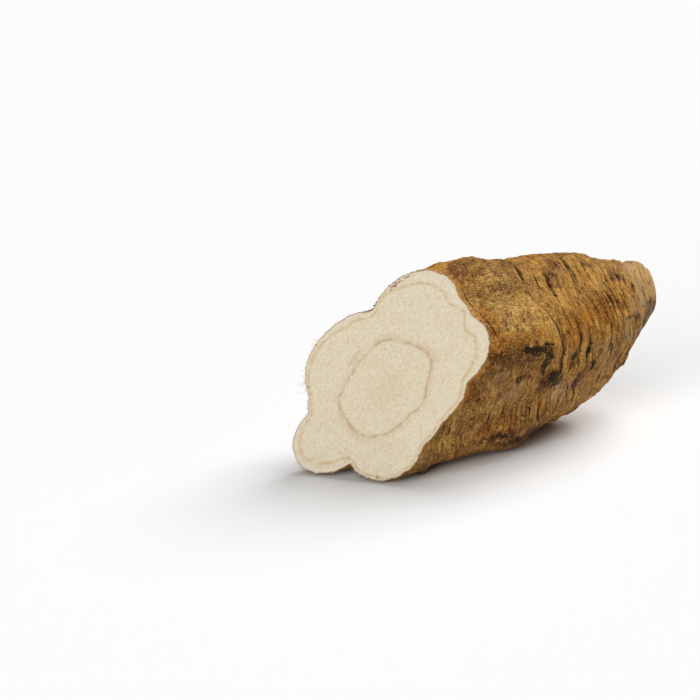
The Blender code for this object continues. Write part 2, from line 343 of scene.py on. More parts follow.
for path, depth, darkness in creases:
    path_x, path_angle = np.array(path).T
    middle, half_span = (path_angle[0] + path_angle[-1]) / 2, (path_angle[-1] - path_angle[0]) / 2
    away = degrees_from(middle)
    share = np.cos(np.clip(np.abs(away) / half_span, 0, 1) * math.pi / 2) ** END_POWER
    share = np.where(np.abs(away) < half_span, share, 0)
    waves = [
        (draw.uniform(*WAVERS), draw.integers(*TIMES_ROUND), draw.uniform(*ANY_PHASE)) for _ in range(3)
    ]
    line = np.interp(away, path_angle - middle, path_x)
    for swing, turns, phase in waves:
        line = line + swing * np.sin(turns * angles + phase)
    patchy = np.sin(draw.uniform(*DIRT_TIMES) * angles + draw.uniform(*ANY_PHASE))
    comes_and_goes = 1 - DIRT_CHANGE + DIRT_CHANGE * patchy
    rows = (ring_x > line.min() - REACH) & (ring_x < line.max() + REACH)
    off = x[rows] - line
    width = CREASE_HALF_WIDTH * (THINNEST + WIDER_WITH_DEPTH * depth)
    sharp = np.exp(-np.abs(off / width) ** STEEPNESS)
    broad = np.exp(-((off / (TROUGH_REACH * width)) ** 2))
    lips = np.exp(-(((np.abs(off) - LIP_PLACE * width) / (LIP_WIDTH * width)) ** 2))
    relief[rows] += share * depth * (BOTTOM * sharp + TROUGH * broad + LIP * lips)
    dirt[rows] = np.maximum(dirt[rows], share * comes_and_goes * sharp * darkness)
    # The lips are made paler in the bark: partly wear, partly a painted highlight on them.
    lip_wear_and_highlight[rows] = np.maximum(lip_wear_and_highlight[rows], share * lips * depth)
print("deepest crease", round(-relief.min(), 2), "mm")

# %% [markdown]
# ## Lumps, grain and side-root stubs
# Between the creases the bark isn't smooth. It has soft lumps a centimetre across, a
# lengthwise grain from the fibres under it, and a few stubs where thin side roots broke
# off. Sculpting them would tie the lesson to one file. Waves, soft bumps and layers of noise
# give the same, each at its own size. The noise is read at the point's place in space, so it
# has no seam where the ring closes.

# %% Lumps, stubs and swells
LUMP_HEIGHT = 0.35
# Each wave: radians per millimetre, waves round the root, phase.
LUMPS = ((0.21, 2, 0.0), (0.13, -3, 1.0))
# Stubs of side roots, by x, angle, radius and height.
KNOBS = (
    (6.5, 58, 2.4, 2.6), (9, 250, 3.4, 2.4), (64, 118, 3.2, 1), (70, 20, 3.6, 1.6), (35, 330, 3.6, 1.4),
    (101, 60, 3.4, 1.2),
)
# Broad shallow swells and hollows that only the drawn skin has: x, angle, radius and height.
SOFT_SWELLS = (
    (49, 88, 12, 0.9), (65, 84, 7, 0.9), (84, 84, 14, -1.6), (98, 84, 7, -1.4), (118, 82, 12, -1.4),
    (130, 82, 6, 1.6), (121, 214, 9, 1.6),
)


def across_from(middle):
    """How far each point lies from this angle, in millimetres round the skin."""
    return np.radians(degrees_from(middle)) * ROUND_RADIUS


def swell(place, middle, reach, rise):
    """A soft bump, or a hollow where the rise is negative."""
    return rise * np.exp(-2 * (np.hypot(x - place, across_from(middle)) / reach) ** 2)


for per_mm, waves_round, phase in LUMPS:
    relief += LUMP_HEIGHT * np.sin(per_mm * x + waves_round * angles + phase)
for bump in KNOBS + SOFT_SWELLS:
    relief += swell(*bump)
print(len(KNOBS), "stubs and", len(SOFT_SWELLS), "swells")

# %% Grain
# Noise layers: size along and across in millimetres, then height.
NOISE_LAYERS = ((9.0, 7.0, 0.36), (7.0, 1.8, 0.16), (1.7, 2.6, 0.16))
skin_y = side + radius * np.cos(angles)
skin_z = height + radius * np.sin(angles)
flat_x = np.broadcast_to(x, radius.shape).ravel()


def noise_on_skin(along, across, shift=0.0, walk=flat_x):
    """Noise at every point, about -0.5 to 0.5, with these sizes in millimetres."""
    spots = zip(walk / along + shift, skin_y.ravel() / across, skin_z.ravel() / across)
    return np.array([noise.noise(Vector(spot)) for spot in spots]).reshape(radius.shape)


for along, across, rise in NOISE_LAYERS:
    relief += rise * 2 * noise_on_skin(along, across)
print("relief spreads", round(relief.std(), 2), "mm")

# %% [markdown]
# ## Crumpled skin
# Near the cut the bark is crumpled lengthwise, with raised curly fibres and hollows between
# them. Further on it is crumpled across, and thin wavy cracks run round the root. There are
# hundreds, too many to place by hand, and noise has them all: where it passes through zero
# it draws one long wandering line. Folded upwards, that line is a crest, and narrowed and
# turned downwards it is a crack. The crests, the hollows and the cracks are kept as numbers
# too, because crests are rubbed pale and hollows hold dirt.

# %% Crests, hollows and cracks
# Each noise: size along, size across, and a shift that sets it apart from the others.
CRUMPLES_NEAR, CRUMPLES_FAR = (5.0, 2.4, 3.7), (4.2, 24.0, 8.1)
CRACKS, CRACKED_PLACES = (5.5, 17.0, 5.3), (14.0, 11.0, 1.9)
# Crumpled across from the first x on, and lengthwise up to the second.
CRUMPLE_CHANGES = (72, 56)
CRUMPLE_HEIGHT, CUSHION_HEIGHT = 0.40, 0.50
CREST_SPREAD = 0.30
FOLD_SPREAD, FOLD_DIRT = 0.045, 0.30
CRACK_SPREAD, CRACK_DEPTH, CRACK_DIRT = 0.035, 0.35, 0.55
# Going back from the tip, cracks begin at the first x and are full from the second on.
CRACKS_END = (124, 118)
CRACKED_SHARE, CRACKED_CONTRAST = 0.3, 2.5
# Where the bark is curliest: x, angle, half length, half width. It is calmer elsewhere.
CURLY_PLACES = ((46, 132, 20, 18), (-5, 40, 30, 22))
CALM_SHARE = 0.3

near_share = ramp(x, *CRUMPLE_CHANGES)
far_share = 1 - near_share
crumple = near_share * (1 - np.abs(noise_on_skin(*CRUMPLES_NEAR)) / CREST_SPREAD)
far_noise = noise_on_skin(*CRUMPLES_FAR)
cushions = far_share * np.abs(far_noise) / CREST_SPREAD
folds = far_share * np.exp(-((far_noise / FOLD_SPREAD) ** 2))
curly_away = np.minimum(*(
    np.hypot((x - place) / half_long, across_from(middle) / half_wide)
    for place, middle, half_long, half_wide in CURLY_PLACES
))
curly = CALM_SHARE + (1 - CALM_SHARE) * np.clip(1.6 - curly_away, 0, 1)
relief += CRUMPLE_HEIGHT * curly * (crumple - 0.5 * near_share)
relief += CUSHION_HEIGHT * (cushions - 0.5 * far_share)
crest = curly * np.clip(crumple * 1.6 - 0.6, 0, 1)
hollow = curly * near_share * np.clip(0.55 - crumple, 0, 1)
cracks = np.exp(-((noise_on_skin(*CRACKS) / CRACK_SPREAD) ** 2))
cracks *= np.clip(CRACKED_SHARE + CRACKED_CONTRAST * noise_on_skin(*CRACKED_PLACES), 0, 1)
cracks *= ramp(x, *CRACKS_END)
relief -= CRACK_DEPTH * cracks
dirt = np.maximum.reduce([dirt, FOLD_DIRT * folds, CRACK_DIRT * cracks])
print("cracks cover", round(100 * (cracks > 0.5).mean(), 1), "% of the skin")

# %% The rim beside the cut
# The knife pressed the skin flat beside the cut, so the relief fades there.
CUT_TURN, CUT_LEAN = 30.0, 22.0
FLAT_RIM, FLAT_SHARE = 6.0, 0.35
EDGE_WIDTH, RIM_ROUGH = 2.6, 0.55
turn, back = math.radians(CUT_TURN), math.radians(CUT_LEAN)
cut_normal = Vector((-math.cos(turn) * math.cos(back), -math.sin(turn) * math.cos(back), math.sin(back)))
behind_cut = -(x * cut_normal.x + skin_y * cut_normal.y + (skin_z - CORE_HEIGHT) * cut_normal.z)
relief *= np.clip(FLAT_SHARE + (1 - FLAT_SHARE) * behind_cut / FLAT_RIM, FLAT_SHARE, 1)
cut_edge = np.clip(1 - behind_cut / EDGE_WIDTH, 0, 1)
rim_rough = RIM_ROUGH * cut_edge * (noise_on_skin(1.2, 1.1, 4.4) + 0.5 * noise_on_skin(5.0, 4.0, 9.1))
print("flattened rim", FLAT_RIM, "mm wide")

# %% The bare tip
# It is calmer. Fine grooves run round it and crowd together on its end. They are measured
# over the skin and not along x, so they go on across the rounded end.
# Between these two x the relief falls to this share.
TIP_CALMS, CALM_RELIEF = (128, 134), 0.35
TIP_SWELLS = ((143, 84, 8, -0.9), (144.5, 100, 8.5, -2.5), (142, 200, 12, -2.1))
GROOVE_ALONG, GROOVE_ROUND = 1.5, 14.0
GROOVE_SPREAD, GROOVE_DEPTH = 0.10, 0.30
GROOVES_END = 4
relief *= np.interp(x, TIP_CALMS, (1, CALM_RELIEF))
relief += sum(swell(*bump) for bump in TIP_SWELLS)
walked = np.cumsum(np.hypot(np.gradient(ring_x), np.gradient(radius.mean(axis=1))))
groove_noise = noise_on_skin(GROOVE_ALONG, GROOVE_ROUND, walk=np.repeat(walked, AROUND))
tip_groove = ramp(x, *TIP_CALMS) * np.exp(-((groove_noise / GROOVE_SPREAD) ** 2))
relief = relief * fade + rim_rough - GROOVE_DEPTH * tip_groove * np.clip(radius / GROOVES_END, 0, 1)
print("relief from", round(relief.min(), 2), "to", round(relief.max(), 2), "mm")

# %% Bend the rings into place
WRINKLE_WAVE, WRINKLE_WAVES, WRINKLE_WAVE_ANGLE = 1.5, 4, 85.0
TIP_SLANTS = (115, 142)
TIP_SLANT, TIP_SLANT_UP, TIP_SLANT_LEFT = 0.30, 0.75, 0.50

full_radius = radius + relief
wave = WRINKLE_WAVE * np.cos(WRINKLE_WAVES * (angles - math.radians(WRINKLE_WAVE_ANGLE)))
slant = TIP_SLANT * ramp(x, *TIP_SLANTS)
lean = TIP_SLANT_UP * np.sin(angles) + TIP_SLANT_LEFT * np.cos(angles)
points = np.stack([
    x + wave * fade + slant * full_radius * lean,
    side + full_radius * np.cos(angles),
    height + full_radius * np.sin(angles),
], axis=-1)
print("net reaches x =", round(points[..., 0].max(), 1), "mm")

# %% [markdown]
# ## Marks on the bark
# The bark carries dark scabs, dark brown and rust stains, pale rubbed places, grey scuffs, a
# golden side and a greyer side. Part of this is painted light and shade. The dark brown under
# the right lobe and under the tip is painted shade. The pale places on the top near the cut
# are partly rubbed and partly a painted highlight. The grey before the tip is partly scuffs,
# partly a painted sheen, and under the tip a painted shade. The golden top and the greyer,
# darker sides below it are partly the bark's tone and partly painted light and shade. They
# could be painted by hand, but a list of ovals on the skin, by x and angle, is easier to
# correct. Each becomes a number from 0 to 1 on every point. Noise bends the ovals out of
# shape, and the material roughens their edges. The far side gets ovals at random, so it looks
# as lived-in as the near one.

# %% Ovals of the near side
# Each: x, angle, half length along, half width around, strength, and lean in degrees if any.
SCABS = (
    (58, 158, 4, 2.2, 1), (52.5, 153.5, 1.8, 1.6, 0.9), (64, 163, 3.2, 6.4, 1),
    (54, 156, 6.5, 1.5, 0.85, 8), (62.4, 174, 1.9, 4.4, 0.95), (68.8, 184, 4.3, 4.4, 0.95, 20),
    (72, 191, 2.8, 5, 0.85), (49, 177.5, 2.2, 2.4, 0.75), (80, 174, 1.4, 3.4, 0.95),
    (89.2, 174, 1.3, 4.8, 1), (93.2, 189, 1.9, 3.4, 1), (27.5, 184, 1.9, 2.4, 0.75),
    (25.5, 180, 1.6, 1.2, 0.7), (48.5, 226.5, 4.4, 2, 1), (36.7, 229, 1, 1.5, 0.9),
    (42, 230.8, 2.8, 1.2, 0.85), (57, 231.5, 4.2, 1.7, 0.9, -6), (64.5, 117.5, 1.9, 1.4, 0.95),
    (82.8, 111, 1.4, 0.9, 0.9), (95, 126.5, 0.9, 1.3, 0.85), (78.7, 126, 0.9, 2, 0.85),
    (108.5, 139, 1.3, 0.8, 0.85), (119, 118.5, 2, 1.4, 0.85), (127, 134, 1.8, 2.3, 0.9),
    (116, 160.5, 3.4, 1, 0.85, 5), (122.5, 166, 1.6, 2.6, 0.75), (46.5, 146.5, 2.3, 1, 0.65),
    (38, 185, 0.8, 1.5, 0.85), (28, 204, 1.6, 1.4, 0.6), (18.6, 217, 1, 1.5, 0.75),
    (33, 110, 1.8, 0.7, 0.7), (36, 104, 2.4, 0.7, 0.6), (50, 211, 0.8, 1.8, 0.6), (6.8, 58, 2.4, 2.6, 1),
    (9, 250, 2.4, 2.6, 0.9), (45, 95, 2.6, 1.4, 0.6), (37, 98, 1.6, 1.2, 0.6),
)
# Dark brown ovals: partly stains, partly painted shade. Those under the right lobe and the one under the
# tip are painted shade.
UMBER_STAINS_AND_SHADE = (
    (36, 94, 12, 5, 0.6), (56, 112.5, 10, 1.8, 0.6, 4), (40, 101, 8, 2.4, 0.5), (62, 92, 5, 7, 0.7),
    (44, 157.5, 16, 4.6, 1, 4), (34, 163, 8, 4, 0.7), (58, 166, 10, 9, 0.4), (26, 176, 5, 7, 0.5),
    (50, 176, 3, 4, 0.6), (72.6, 172, 1.6, 16, 0.9), (68, 186, 7, 8, 0.9), (80, 115, 2.6, 7, 0.7),
    (82, 148, 8, 7, 0.35), (105, 108, 4, 3, 0.7), (115, 149, 5, 5, 0.6), (122, 166, 3, 5, 0.6),
    (127, 136, 3, 5, 0.8), (119, 118, 5, 4, 0.7), (87, 202, 4, 8, 0.8), (30, 205, 4, 5, 0.4),
    (48, 226, 9, 3, 1), (60, 232, 14, 4, 0.9, -8), (30, 240, 22, 3, 0.2), (141, 192, 9, 20, 1),
    (119, 214, 4, 8, 0.7), (92, 188, 4, 5, 0.5), (101, 140, 5, 3, 0.5), (66.2, 98, 1.1, 13, 0.9),
    (70, 222, 3, 5, 0.6), (93.4, 104, 0.9, 12, 0.6),
)
RUST_STAINS = (
    (37, 136, 5, 14, 0.9), (44, 148, 16, 4, 1), (22, 176, 8, 8, 0.6, 20), (100, 146, 9, 11, 0.8),
    (83, 152, 12, 10, 0.8), (45, 218, 18, 7, 0.6), (13, 214, 7, 12, 0.3), (67, 214, 3, 9, 0.65),
    (86, 204, 5, 9, 0.8, 20), (112, 136, 8, 7, 0.5), (35, 100, 10, 8, 0.5), (86, 102, 3, 5, 0.6),
)
# Pale ovals: partly rubbed bark, partly a painted highlight on the top near the cut.
PALE_WEAR_AND_HIGHLIGHT = (
    (46, 106.5, 15, 2.4, 0.7), (36, 122, 8, 9, 0.7), (46, 117, 14, 5, 0.7), (50, 130, 15, 10, 0.95),
    (64, 124, 7, 7, 0.8), (38, 144, 5, 5, 0.8), (52, 108, 12, 4, 0.5), (112, 110, 7, 7, 0.5),
    (96, 96, 5, 4, 0.5), (104, 124, 5, 8, 0.6), (66, 142, 4, 6, 0.5), (124, 104, 5, 6, 0.6),
    (28, 214, 8, 6, 0.45), (15, 226, 12, 9, 0.6), (80, 150, 12, 10, 0.5), (30, 120, 2, 6, 0.6),
)
# Grey ovals: partly scuffs, partly a painted sheen before the tip and painted shade under it.
ASH_SCUFFS_SHEEN_AND_SHADE = (
    (111, 170, 4, 7, 0.9), (122, 156, 4, 9, 0.9), (97, 182, 5, 9, 0.6), (103, 205, 7, 12, 0.7),
    (76, 204, 5, 11, 0.7), (36, 172, 9, 6, 0.5), (46, 188, 14, 6, 0.6), (128, 106, 4, 7, 0.8),
    (120, 180, 6, 10, 0.8), (90, 222, 12, 6, 0.5), (10, 232, 8, 3, 0.4), (132, 160, 5, 12, 0.7),
    (138, 192, 8, 14, 0.8), (22, 196, 5, 5, 0.3), (84, 208, 14, 13, 0.5), (108, 200, 12, 16, 0.5),
    (64, 224, 10, 7, 0.4),
)
near_marks = dict(scab=SCABS, umber=UMBER_STAINS_AND_SHADE, rust=RUST_STAINS, pale=PALE_WEAR_AND_HIGHLIGHT, ash_sheen_and_shade=ASH_SCUFFS_SHEEN_AND_SHADE)
print({name: len(listed) for name, listed in near_marks.items()})

# %% Marks as numbers on the skin
# The far side: how many of each, their largest half size, and strength.
FAR_STRETCH, FAR_SIDE = (-35, 130), (-115, 70)
FAR_SIZES, FAR_STRENGTHS, FAR_LEANS = (0.3, 1), (0.6, 1), (-30, 30)
FAR_MARKS = {
    "scab": (26, 4.0, 1.0), "umber": (16, 12.0, 0.8), "rust": (8, 9.0, 0.7), "pale": (10, 11.0, 0.7),
    "ash_sheen_and_shade": (10, 9.0, 0.7),
}
MARK_WOBBLE = 0.55
wobble = MARK_WOBBLE * (noise_on_skin(3.2, 3.0, 2.2) + 0.6 * noise_on_skin(7.0, 5.0, 6.4))


def oval(place, middle, half_long, half_wide, strength, lean=0):
    """0 to 1 on every point of the skin: 1 in the middle of the oval, 0 well outside."""
    along, across = x - place, across_from(middle)
    c, s = math.cos(math.radians(lean)), math.sin(math.radians(lean))
    distance = np.hypot((along * c + across * s) / half_long, (across * c - along * s) / half_wide)
    return strength * np.clip(1.5 - distance - wobble, 0, 1)


def ovals(listed):
    return np.maximum.reduce([oval(*row) for row in listed])


def far_ovals(count, largest, strength):
    return tuple((
        draw.uniform(*FAR_STRETCH), draw.uniform(*FAR_SIDE), draw.uniform(*FAR_SIZES) * largest,
        draw.uniform(*FAR_SIZES) * largest, draw.uniform(*FAR_STRENGTHS) * strength,
        draw.uniform(*FAR_LEANS),
    ) for _ in range(count))


marks = {name: ovals(near_marks[name] + far_ovals(*far)) for name, far in FAR_MARKS.items()}
print({name: round(float(made.mean()), 3) for name, made in marks.items()})

# %% Golden and grey sides, dashes and the bare tip
# How golden the bark is at each angle round the root: golden on top, greyer and darker from
# about 170 degrees round past the underside. This is partly the bark's tone and partly painted
# light and shade. Past x 62 the grey side warms a little.
GOLD_AND_LIGHT_AT = (
    (0, 0.55), (40, 0.7), (75, 0.8), (100, 0.75), (120, 1.0), (148, 1.0), (168, 0.25), (235, 0.15),
    (270, 0.2), (320, 0.35), (360, 0.55),
)
WARMER_STRETCH, GREY_SIDE, WARMER_BY = (62, 77), 150, 0.2
DASHED_PLACES = ((47, 109, 17, 7, 1.0), (45, 130, 17, 9, 0.5), (10, 60, 22, 10, 0.7), (60, 30, 25, 9, 0.6))
# The bark ends between these two x.
BARE_STRETCH = (129.5, 132.5)
# On the flank, from the first angle on, fibres don't lie along the root. Up to the second they do.
FLANK_FROM = (165, 153)
turn_of = np.degrees(angles)
warmer = WARMER_BY * ramp(x, *WARMER_STRETCH) * (turn_of > GREY_SIDE)
gold_and_painted_light = np.clip(np.interp(turn_of, *np.array(GOLD_AND_LIGHT_AT).T) * np.ones_like(radius) + warmer, 0, 1)
dashes = ovals(DASHED_PLACES)
bare_tip = ramp(x, *BARE_STRETCH) * np.ones_like(radius)
# Fibres and flecks lie along the root near the cut, apart from the flank, and round it beyond.
lengthwise = near_share * ramp(np.where(turn_of > 300, turn_of - 360, turn_of), *FLANK_FROM)
print("golden share of the skin", round(float(gold_and_painted_light.mean()), 2))

# %% [markdown]
# ## The knife cut
# The near end was cut with one slanting stroke. A Boolean would do, but bisecting the mesh
# with a plane is exact and quick, and the open rim that it leaves is the outline of the cut.
# Everything in front of the plane is removed.

# %% Make the skin
core = Vector((0.0, 0.0, CORE_HEIGHT))
ring_count = len(ring_x)
corner = np.arange((ring_count - 1) * AROUND).reshape(ring_count - 1, AROUND)
after = np.roll(corner, -1, axis=1)
quads = np.stack([corner, after, after + AROUND, corner + AROUND], axis=-1).reshape(-1, 4)
end_ring = (ring_count - 1) * AROUND + np.arange(AROUND)
end_point = (X_END, stations[1][-1], stations[2][-1])
end_fan = [(int(a), int(b), ring_count * AROUND) for a, b in zip(end_ring, np.roll(end_ring, -1))]
net = points.reshape(-1, 3)
in_front = (net - np.array(core)) @ np.array(cut_normal) > 0
kept = quads[~in_front[quads].all(axis=1)]
skin_data = bpy.data.meshes.new("root_skin")
skin_data.from_pydata([*net.tolist(), end_point], [], [*kept.tolist(), *end_fan])

skin_numbers = {
    "dirt": dirt, "gold_and_painted_light": gold_and_painted_light, "dashes": dashes, "bare_tip": bare_tip, "lip_wear_and_highlight": lip_wear_and_highlight,
    "crest": crest, "hollow": hollow, "curly": curly, "lengthwise": lengthwise, "cut_edge": cut_edge,
    "tip_groove": tip_groove, **marks,
}
for name, values in skin_numbers.items():
    layer = skin_data.attributes.new(name, "FLOAT", "POINT")
    layer.data.foreach_set("value", np.append(values.ravel(), values.ravel()[-1]).astype(np.float32))
skin_mm = np.stack([np.broadcast_to(x, radius.shape), points[..., 1], points[..., 2]], axis=-1)
layer = skin_data.attributes.new("skin_mm", "FLOAT_VECTOR", "POINT")
flat = np.append(skin_mm.reshape(-1, 3), [end_point], axis=0)
layer.data.foreach_set("vector", flat.ravel().astype(np.float32))
print(len(skin_numbers), "numbers on", len(net), "points")

# %% Cut it
MERGE_AT_CUT = 0.02
CUT_NUMBERS = ("under_skin", "core_ring", "from_bark_line", "on_second_arc", "in_split", "in_shred")
body = bmesh.new()
body.from_mesh(skin_data)
cut_layer = {name: body.verts.layers.float.new(name) for name in CUT_NUMBERS}
place_mm = body.verts.layers.float_vector["skin_mm"]
bmesh.ops.delete(body, geom=[v for v in body.verts if not v.link_faces], context="VERTS")
bmesh.ops.bisect_plane(
    body, geom=body.verts[:] + body.edges[:] + body.faces[:], dist=MERGE_AT_CUT,
    plane_co=core, plane_no=cut_normal, clear_outer=True,
)
for face in body.faces:
    face.smooth = True
rim_edges = [edge for edge in body.edges if edge.is_boundary]
print("cut rim of", len(rim_edges), "edges")

# %% [markdown]
# ## The cut face
# A knife leaves the flesh nearly flat. One large polygon would fill the rim, but it has no
# points inside. So the cut is closed with a disc of its own, drawn from the rim towards the
# core in rings, with points enough for a very slight unevenness. They also carry numbers for
# the material: how far they lie under the skin, and how far out from the core, as a share of
# the core ring's radius. The core ring is the tan line where the youngest wood grows, nearly
# a seven-sided figure. A fainter line follows the skin, but not evenly: it swings inwards in
# the middle of each lobe. Both are written as a few distances by angle round the core.

# %% Tables for the cut
# The core ring: angle, then its distance from the core.
CORE_RING = (
    (0, 17.6), (18, 17.3), (42, 18.8), (66, 22), (90, 20.4), (121, 20.1), (136, 19.5), (150, 17),
    (170, 15.8), (195, 17), (213, 15.8), (238, 17.8), (255, 19.9), (272, 20.9), (288, 20.7), (308, 19.3),
    (331, 19.9), (345, 19),
)
# The line inside the bark: angle, then how far under the skin it lies.
BARK_LINE = (
    (0, 1.6), (25, 2.6), (40, 4), (56, 3), (66, 1.2), (80, 5), (95, 6.5), (107, 5.5), (118, 2.5), (127, 7),
    (134, 6.5), (142, 6), (151, 4.5), (160, 3), (168, 2), (180, 1.8), (215, 1.5), (240, 1.2), (265, 1.5),
    (275, 1.5), (284, 4.2), (300, 4.5), (317, 3.3), (325, 2.4), (340, 1.5),
)
# A second arc outside the core ring: its angles, its distance and its half width, both as
# shares of the ring's distance.
SECOND_ARC = (14, 50, 1.19, 0.07)
# Short splits that run in from the rim: angle and length. All have this half width in degrees.
SPLITS = ((255.0, 3.4), (72.0, 1.3), (352.0, 2.4))
SPLIT_HALF_ANGLE = 1.7
# Shreds of bark that the knife dragged over the cut: angle, gap from the rim, half sizes.
SHREDS = (
    (74, 1.3, 3.4, 1.1), (79.5, 0.9, 3, 1), (89, 0.6, 6, 0.8), (97, 0.9, 2.5, 0.7), (246, 0.5, 7, 0.6),
    (300, 0.4, 12, 0.5),
)
print(len(CORE_RING), "corners on the core ring,", len(SHREDS), "shreds of bark")

# %% Disc of the cut
DISC_RINGS = 34
DISC_AROUND = 220
# How uneven the cut is, in waves of two sizes, all in millimetres. It fades in by the rim.
CUT_UNEVEN, BROAD_WAVE, SMALL_WAVE = 0.16, 11, 2.5
FADES_IN = 4


def angle_of(co):
    return math.atan2(co.z - core.z, co.y - core.y) % (2 * math.pi)


def on_cut(y, z):
    """The point of the cut plane with this y and z."""
    return Vector((-(cut_normal.y * y + cut_normal.z * (z - core.z)) / cut_normal.x, y, z))


rim = sorted({vert for edge in rim_edges for vert in edge.verts}, key=lambda vert: angle_of(vert.co))
rim_angles = np.array([angle_of(vert.co) for vert in rim])
rim_reach = np.array([math.hypot(vert.co.y, vert.co.z - core.z) for vert in rim])
disc_angles = np.arange(DISC_AROUND) * 2 * math.pi / DISC_AROUND
disc_reach = np.interp(disc_angles, rim_angles, rim_reach, period=2 * math.pi)
rim_outline = np.array([vert.co for vert in rim])
rings = []
for k in range(1, DISC_RINGS):
    share = 1 - k / DISC_RINGS
    ys, zs = disc_reach * share * np.cos(disc_angles), disc_reach * share * np.sin(disc_angles)
    ring = []
    for y, z in zip(ys, zs):
        spot = on_cut(y, core.z + z)
        bump = noise.noise(spot / BROAD_WAVE) + 0.5 * noise.noise(spot / SMALL_WAVE)
        fade_in = min(1, FADES_IN * k / DISC_RINGS)
        ring.append(body.verts.new(spot + cut_normal * CUT_UNEVEN * bump * fade_in))
    rings.append(ring)
centre = body.verts.new(core)

flesh_faces = []
for outer, inner in zip(rings, rings[1:]):
    for k in range(DISC_AROUND):
        n = (k + 1) % DISC_AROUND
        flesh_faces.append(body.faces.new((outer[k], outer[n], inner[n], inner[k])))
for k in range(DISC_AROUND):
    flesh_faces.append(body.faces.new((rings[-1][k], rings[-1][(k + 1) % DISC_AROUND], centre)))
print(len(rings), "rings on the cut")

# %% Join the disc to the rim
# The rim has more points than the disc's outer ring. Both are walked together, and each
# step makes a triangle with whichever point comes next.
outer = rings[0]
i = j = 0
while i < len(rim) or j < DISC_AROUND:
    next_rim = rim_angles[i + 1] if i + 1 < len(rim) else rim_angles[0] + 2 * math.pi
    next_disc = disc_angles[j + 1] if j + 1 < DISC_AROUND else 2 * math.pi
    a, b = rim[i % len(rim)], outer[j % DISC_AROUND]
    if j >= DISC_AROUND or (i < len(rim) and next_rim <= next_disc):
        i += 1
        flesh_faces.append(body.faces.new((a, rim[i % len(rim)], b)))
    else:
        j += 1
        flesh_faces.append(body.faces.new((a, outer[j % DISC_AROUND], b)))
for face in flesh_faces:
    face.material_index = 1
    face.smooth = True
print(len(flesh_faces), "faces on the cut")

# %% Numbers on the cut's points
# The rim itself lies far outside both lines.
ON_THE_RIM = {"core_ring": 3.0, "from_bark_line": -2.0}


def round_the_core(table, degrees):
    """The distance that a table gives at each angle, with no step at 360 degrees."""
    at, distances = np.array(table, dtype=float).T
    return np.interp(degrees, at, distances, period=360)


first, last, arc_share, arc_half = SECOND_ARC
for ring in [*rings, [centre]]:
    spots = np.array([vert.co for vert in ring])
    gaps = np.linalg.norm(spots[:, None, :] - rim_outline[None, :, :], axis=-1).min(axis=1)
    degrees = np.degrees(np.arctan2(spots[:, 2] - core.z, spots[:, 1])) % 360
    shares = np.hypot(spots[:, 1], spots[:, 2] - core.z) / round_the_core(CORE_RING, degrees)
    line_gaps = gaps - round_the_core(BARK_LINE, degrees)
    arcs = np.clip(1 - np.abs(degrees - (first + last) / 2) / ((last - first) / 2), 0, 1) ** 0.5
    arcs = arcs * np.maximum(0.0, 1 - np.abs(shares - arc_share) / arc_half)
    splits, shreds = np.zeros((2, len(ring)))
    for angle, length in SPLITS:
        beside = np.clip(1 - np.abs(degrees - angle) / SPLIT_HALF_ANGLE, 0, 1)
        splits = np.maximum(splits, beside * np.clip(1 - gaps / length, 0, 1) ** 0.5)
    for angle, gap, half_angle, half_gap in SHREDS:
        distance = np.hypot((degrees - angle) / half_angle, (gaps - gap) / half_gap)
        shreds = np.maximum(shreds, np.clip(1.6 - distance, 0, 1))
    for vert, *values in zip(ring, gaps, shares, line_gaps, arcs, splits, shreds):
        vert[place_mm] = vert.co
        for layer, value in zip(cut_layer.values(), values):
            vert[layer] = value
for vert in rim:
    for name, value in ON_THE_RIM.items():
        vert[cut_layer[name]] = value
print(len(CUT_NUMBERS), "numbers on the cut")

# %% [markdown]
# ## Lay it down
# The root rests on three low spots of its underside. A simulation could drop it, but the
# solid's place is known, so it is turned by the same two small angles and let down until the
# spots press a little flat on the table. The shift is the one that brings the solid's middle
# over the origin, so both bodies share one place.

# %% Turn, shift and rest
REST_ROLL, REST_PITCH = 2.8, 2.2
REST_SHIFT = Vector((-61.166, 0.338, -0.270))
rest_turn = Euler((math.radians(REST_ROLL), math.radians(REST_PITCH), 0.0)).to_matrix().to_4x4()
to_rest = Matrix.Scale(MM, 4) @ Matrix.Translation(REST_SHIFT) @ rest_turn
body.transform(to_rest)
for vert in body.verts:
    vert.co.z = max(vert.co.z, 0.0)
bmesh.ops.recalc_face_normals(body, faces=body.faces[:])
for edge in body.edges:
    if len({face.material_index for face in edge.link_faces}) > 1:
        edge.smooth = False
body.to_mesh(skin_data)
open_edges = sum(edge.is_boundary for edge in body.edges)
print("open edges:", open_edges, "triangles:", len(body.calc_loop_triangles()))
body.free()
root = bpy.data.objects.new("kudzu_root_skin", skin_data)
scene.collection.objects.link(root)

# %% [markdown]
# ## Helpers for materials
# Colours are written as the hex values that a picture shows and turned to linear light once.
# One small function adds a node, sets its properties and its inputs, links whatever comes
# from another node, and hands back one output. Bark and flesh are made the same way, so the
# three steps they share are written once: noise patterns by size, masks cut out of them, and
# colours laid over each other through the masks.

# %% Colour, node and material helpers
def linear(hex_colour):
    """An sRGB hex colour as linear RGBA."""
    parts = [int(hex_colour[k:k + 2], 16) / 255 for k in (1, 3, 5)]
    return [(c / 12.92 if c <= 0.04045 else ((c + 0.055) / 1.055) ** 2.4) for c in parts] + [1.0]


def add_node(tree, kind, inputs, output=0, **settings):
    """One output of a new node. An input takes a value, or the output of another node."""
    made = tree.nodes.new("ShaderNode" + kind)
    for name, value in settings.items():
        setattr(made, name, value)
    for name, value in inputs.items():
        if isinstance(value, bpy.types.NodeSocket):
            tree.links.new(value, made.inputs[name])
        else:
            made.inputs[name].default_value = value
    return made.outputs[output]


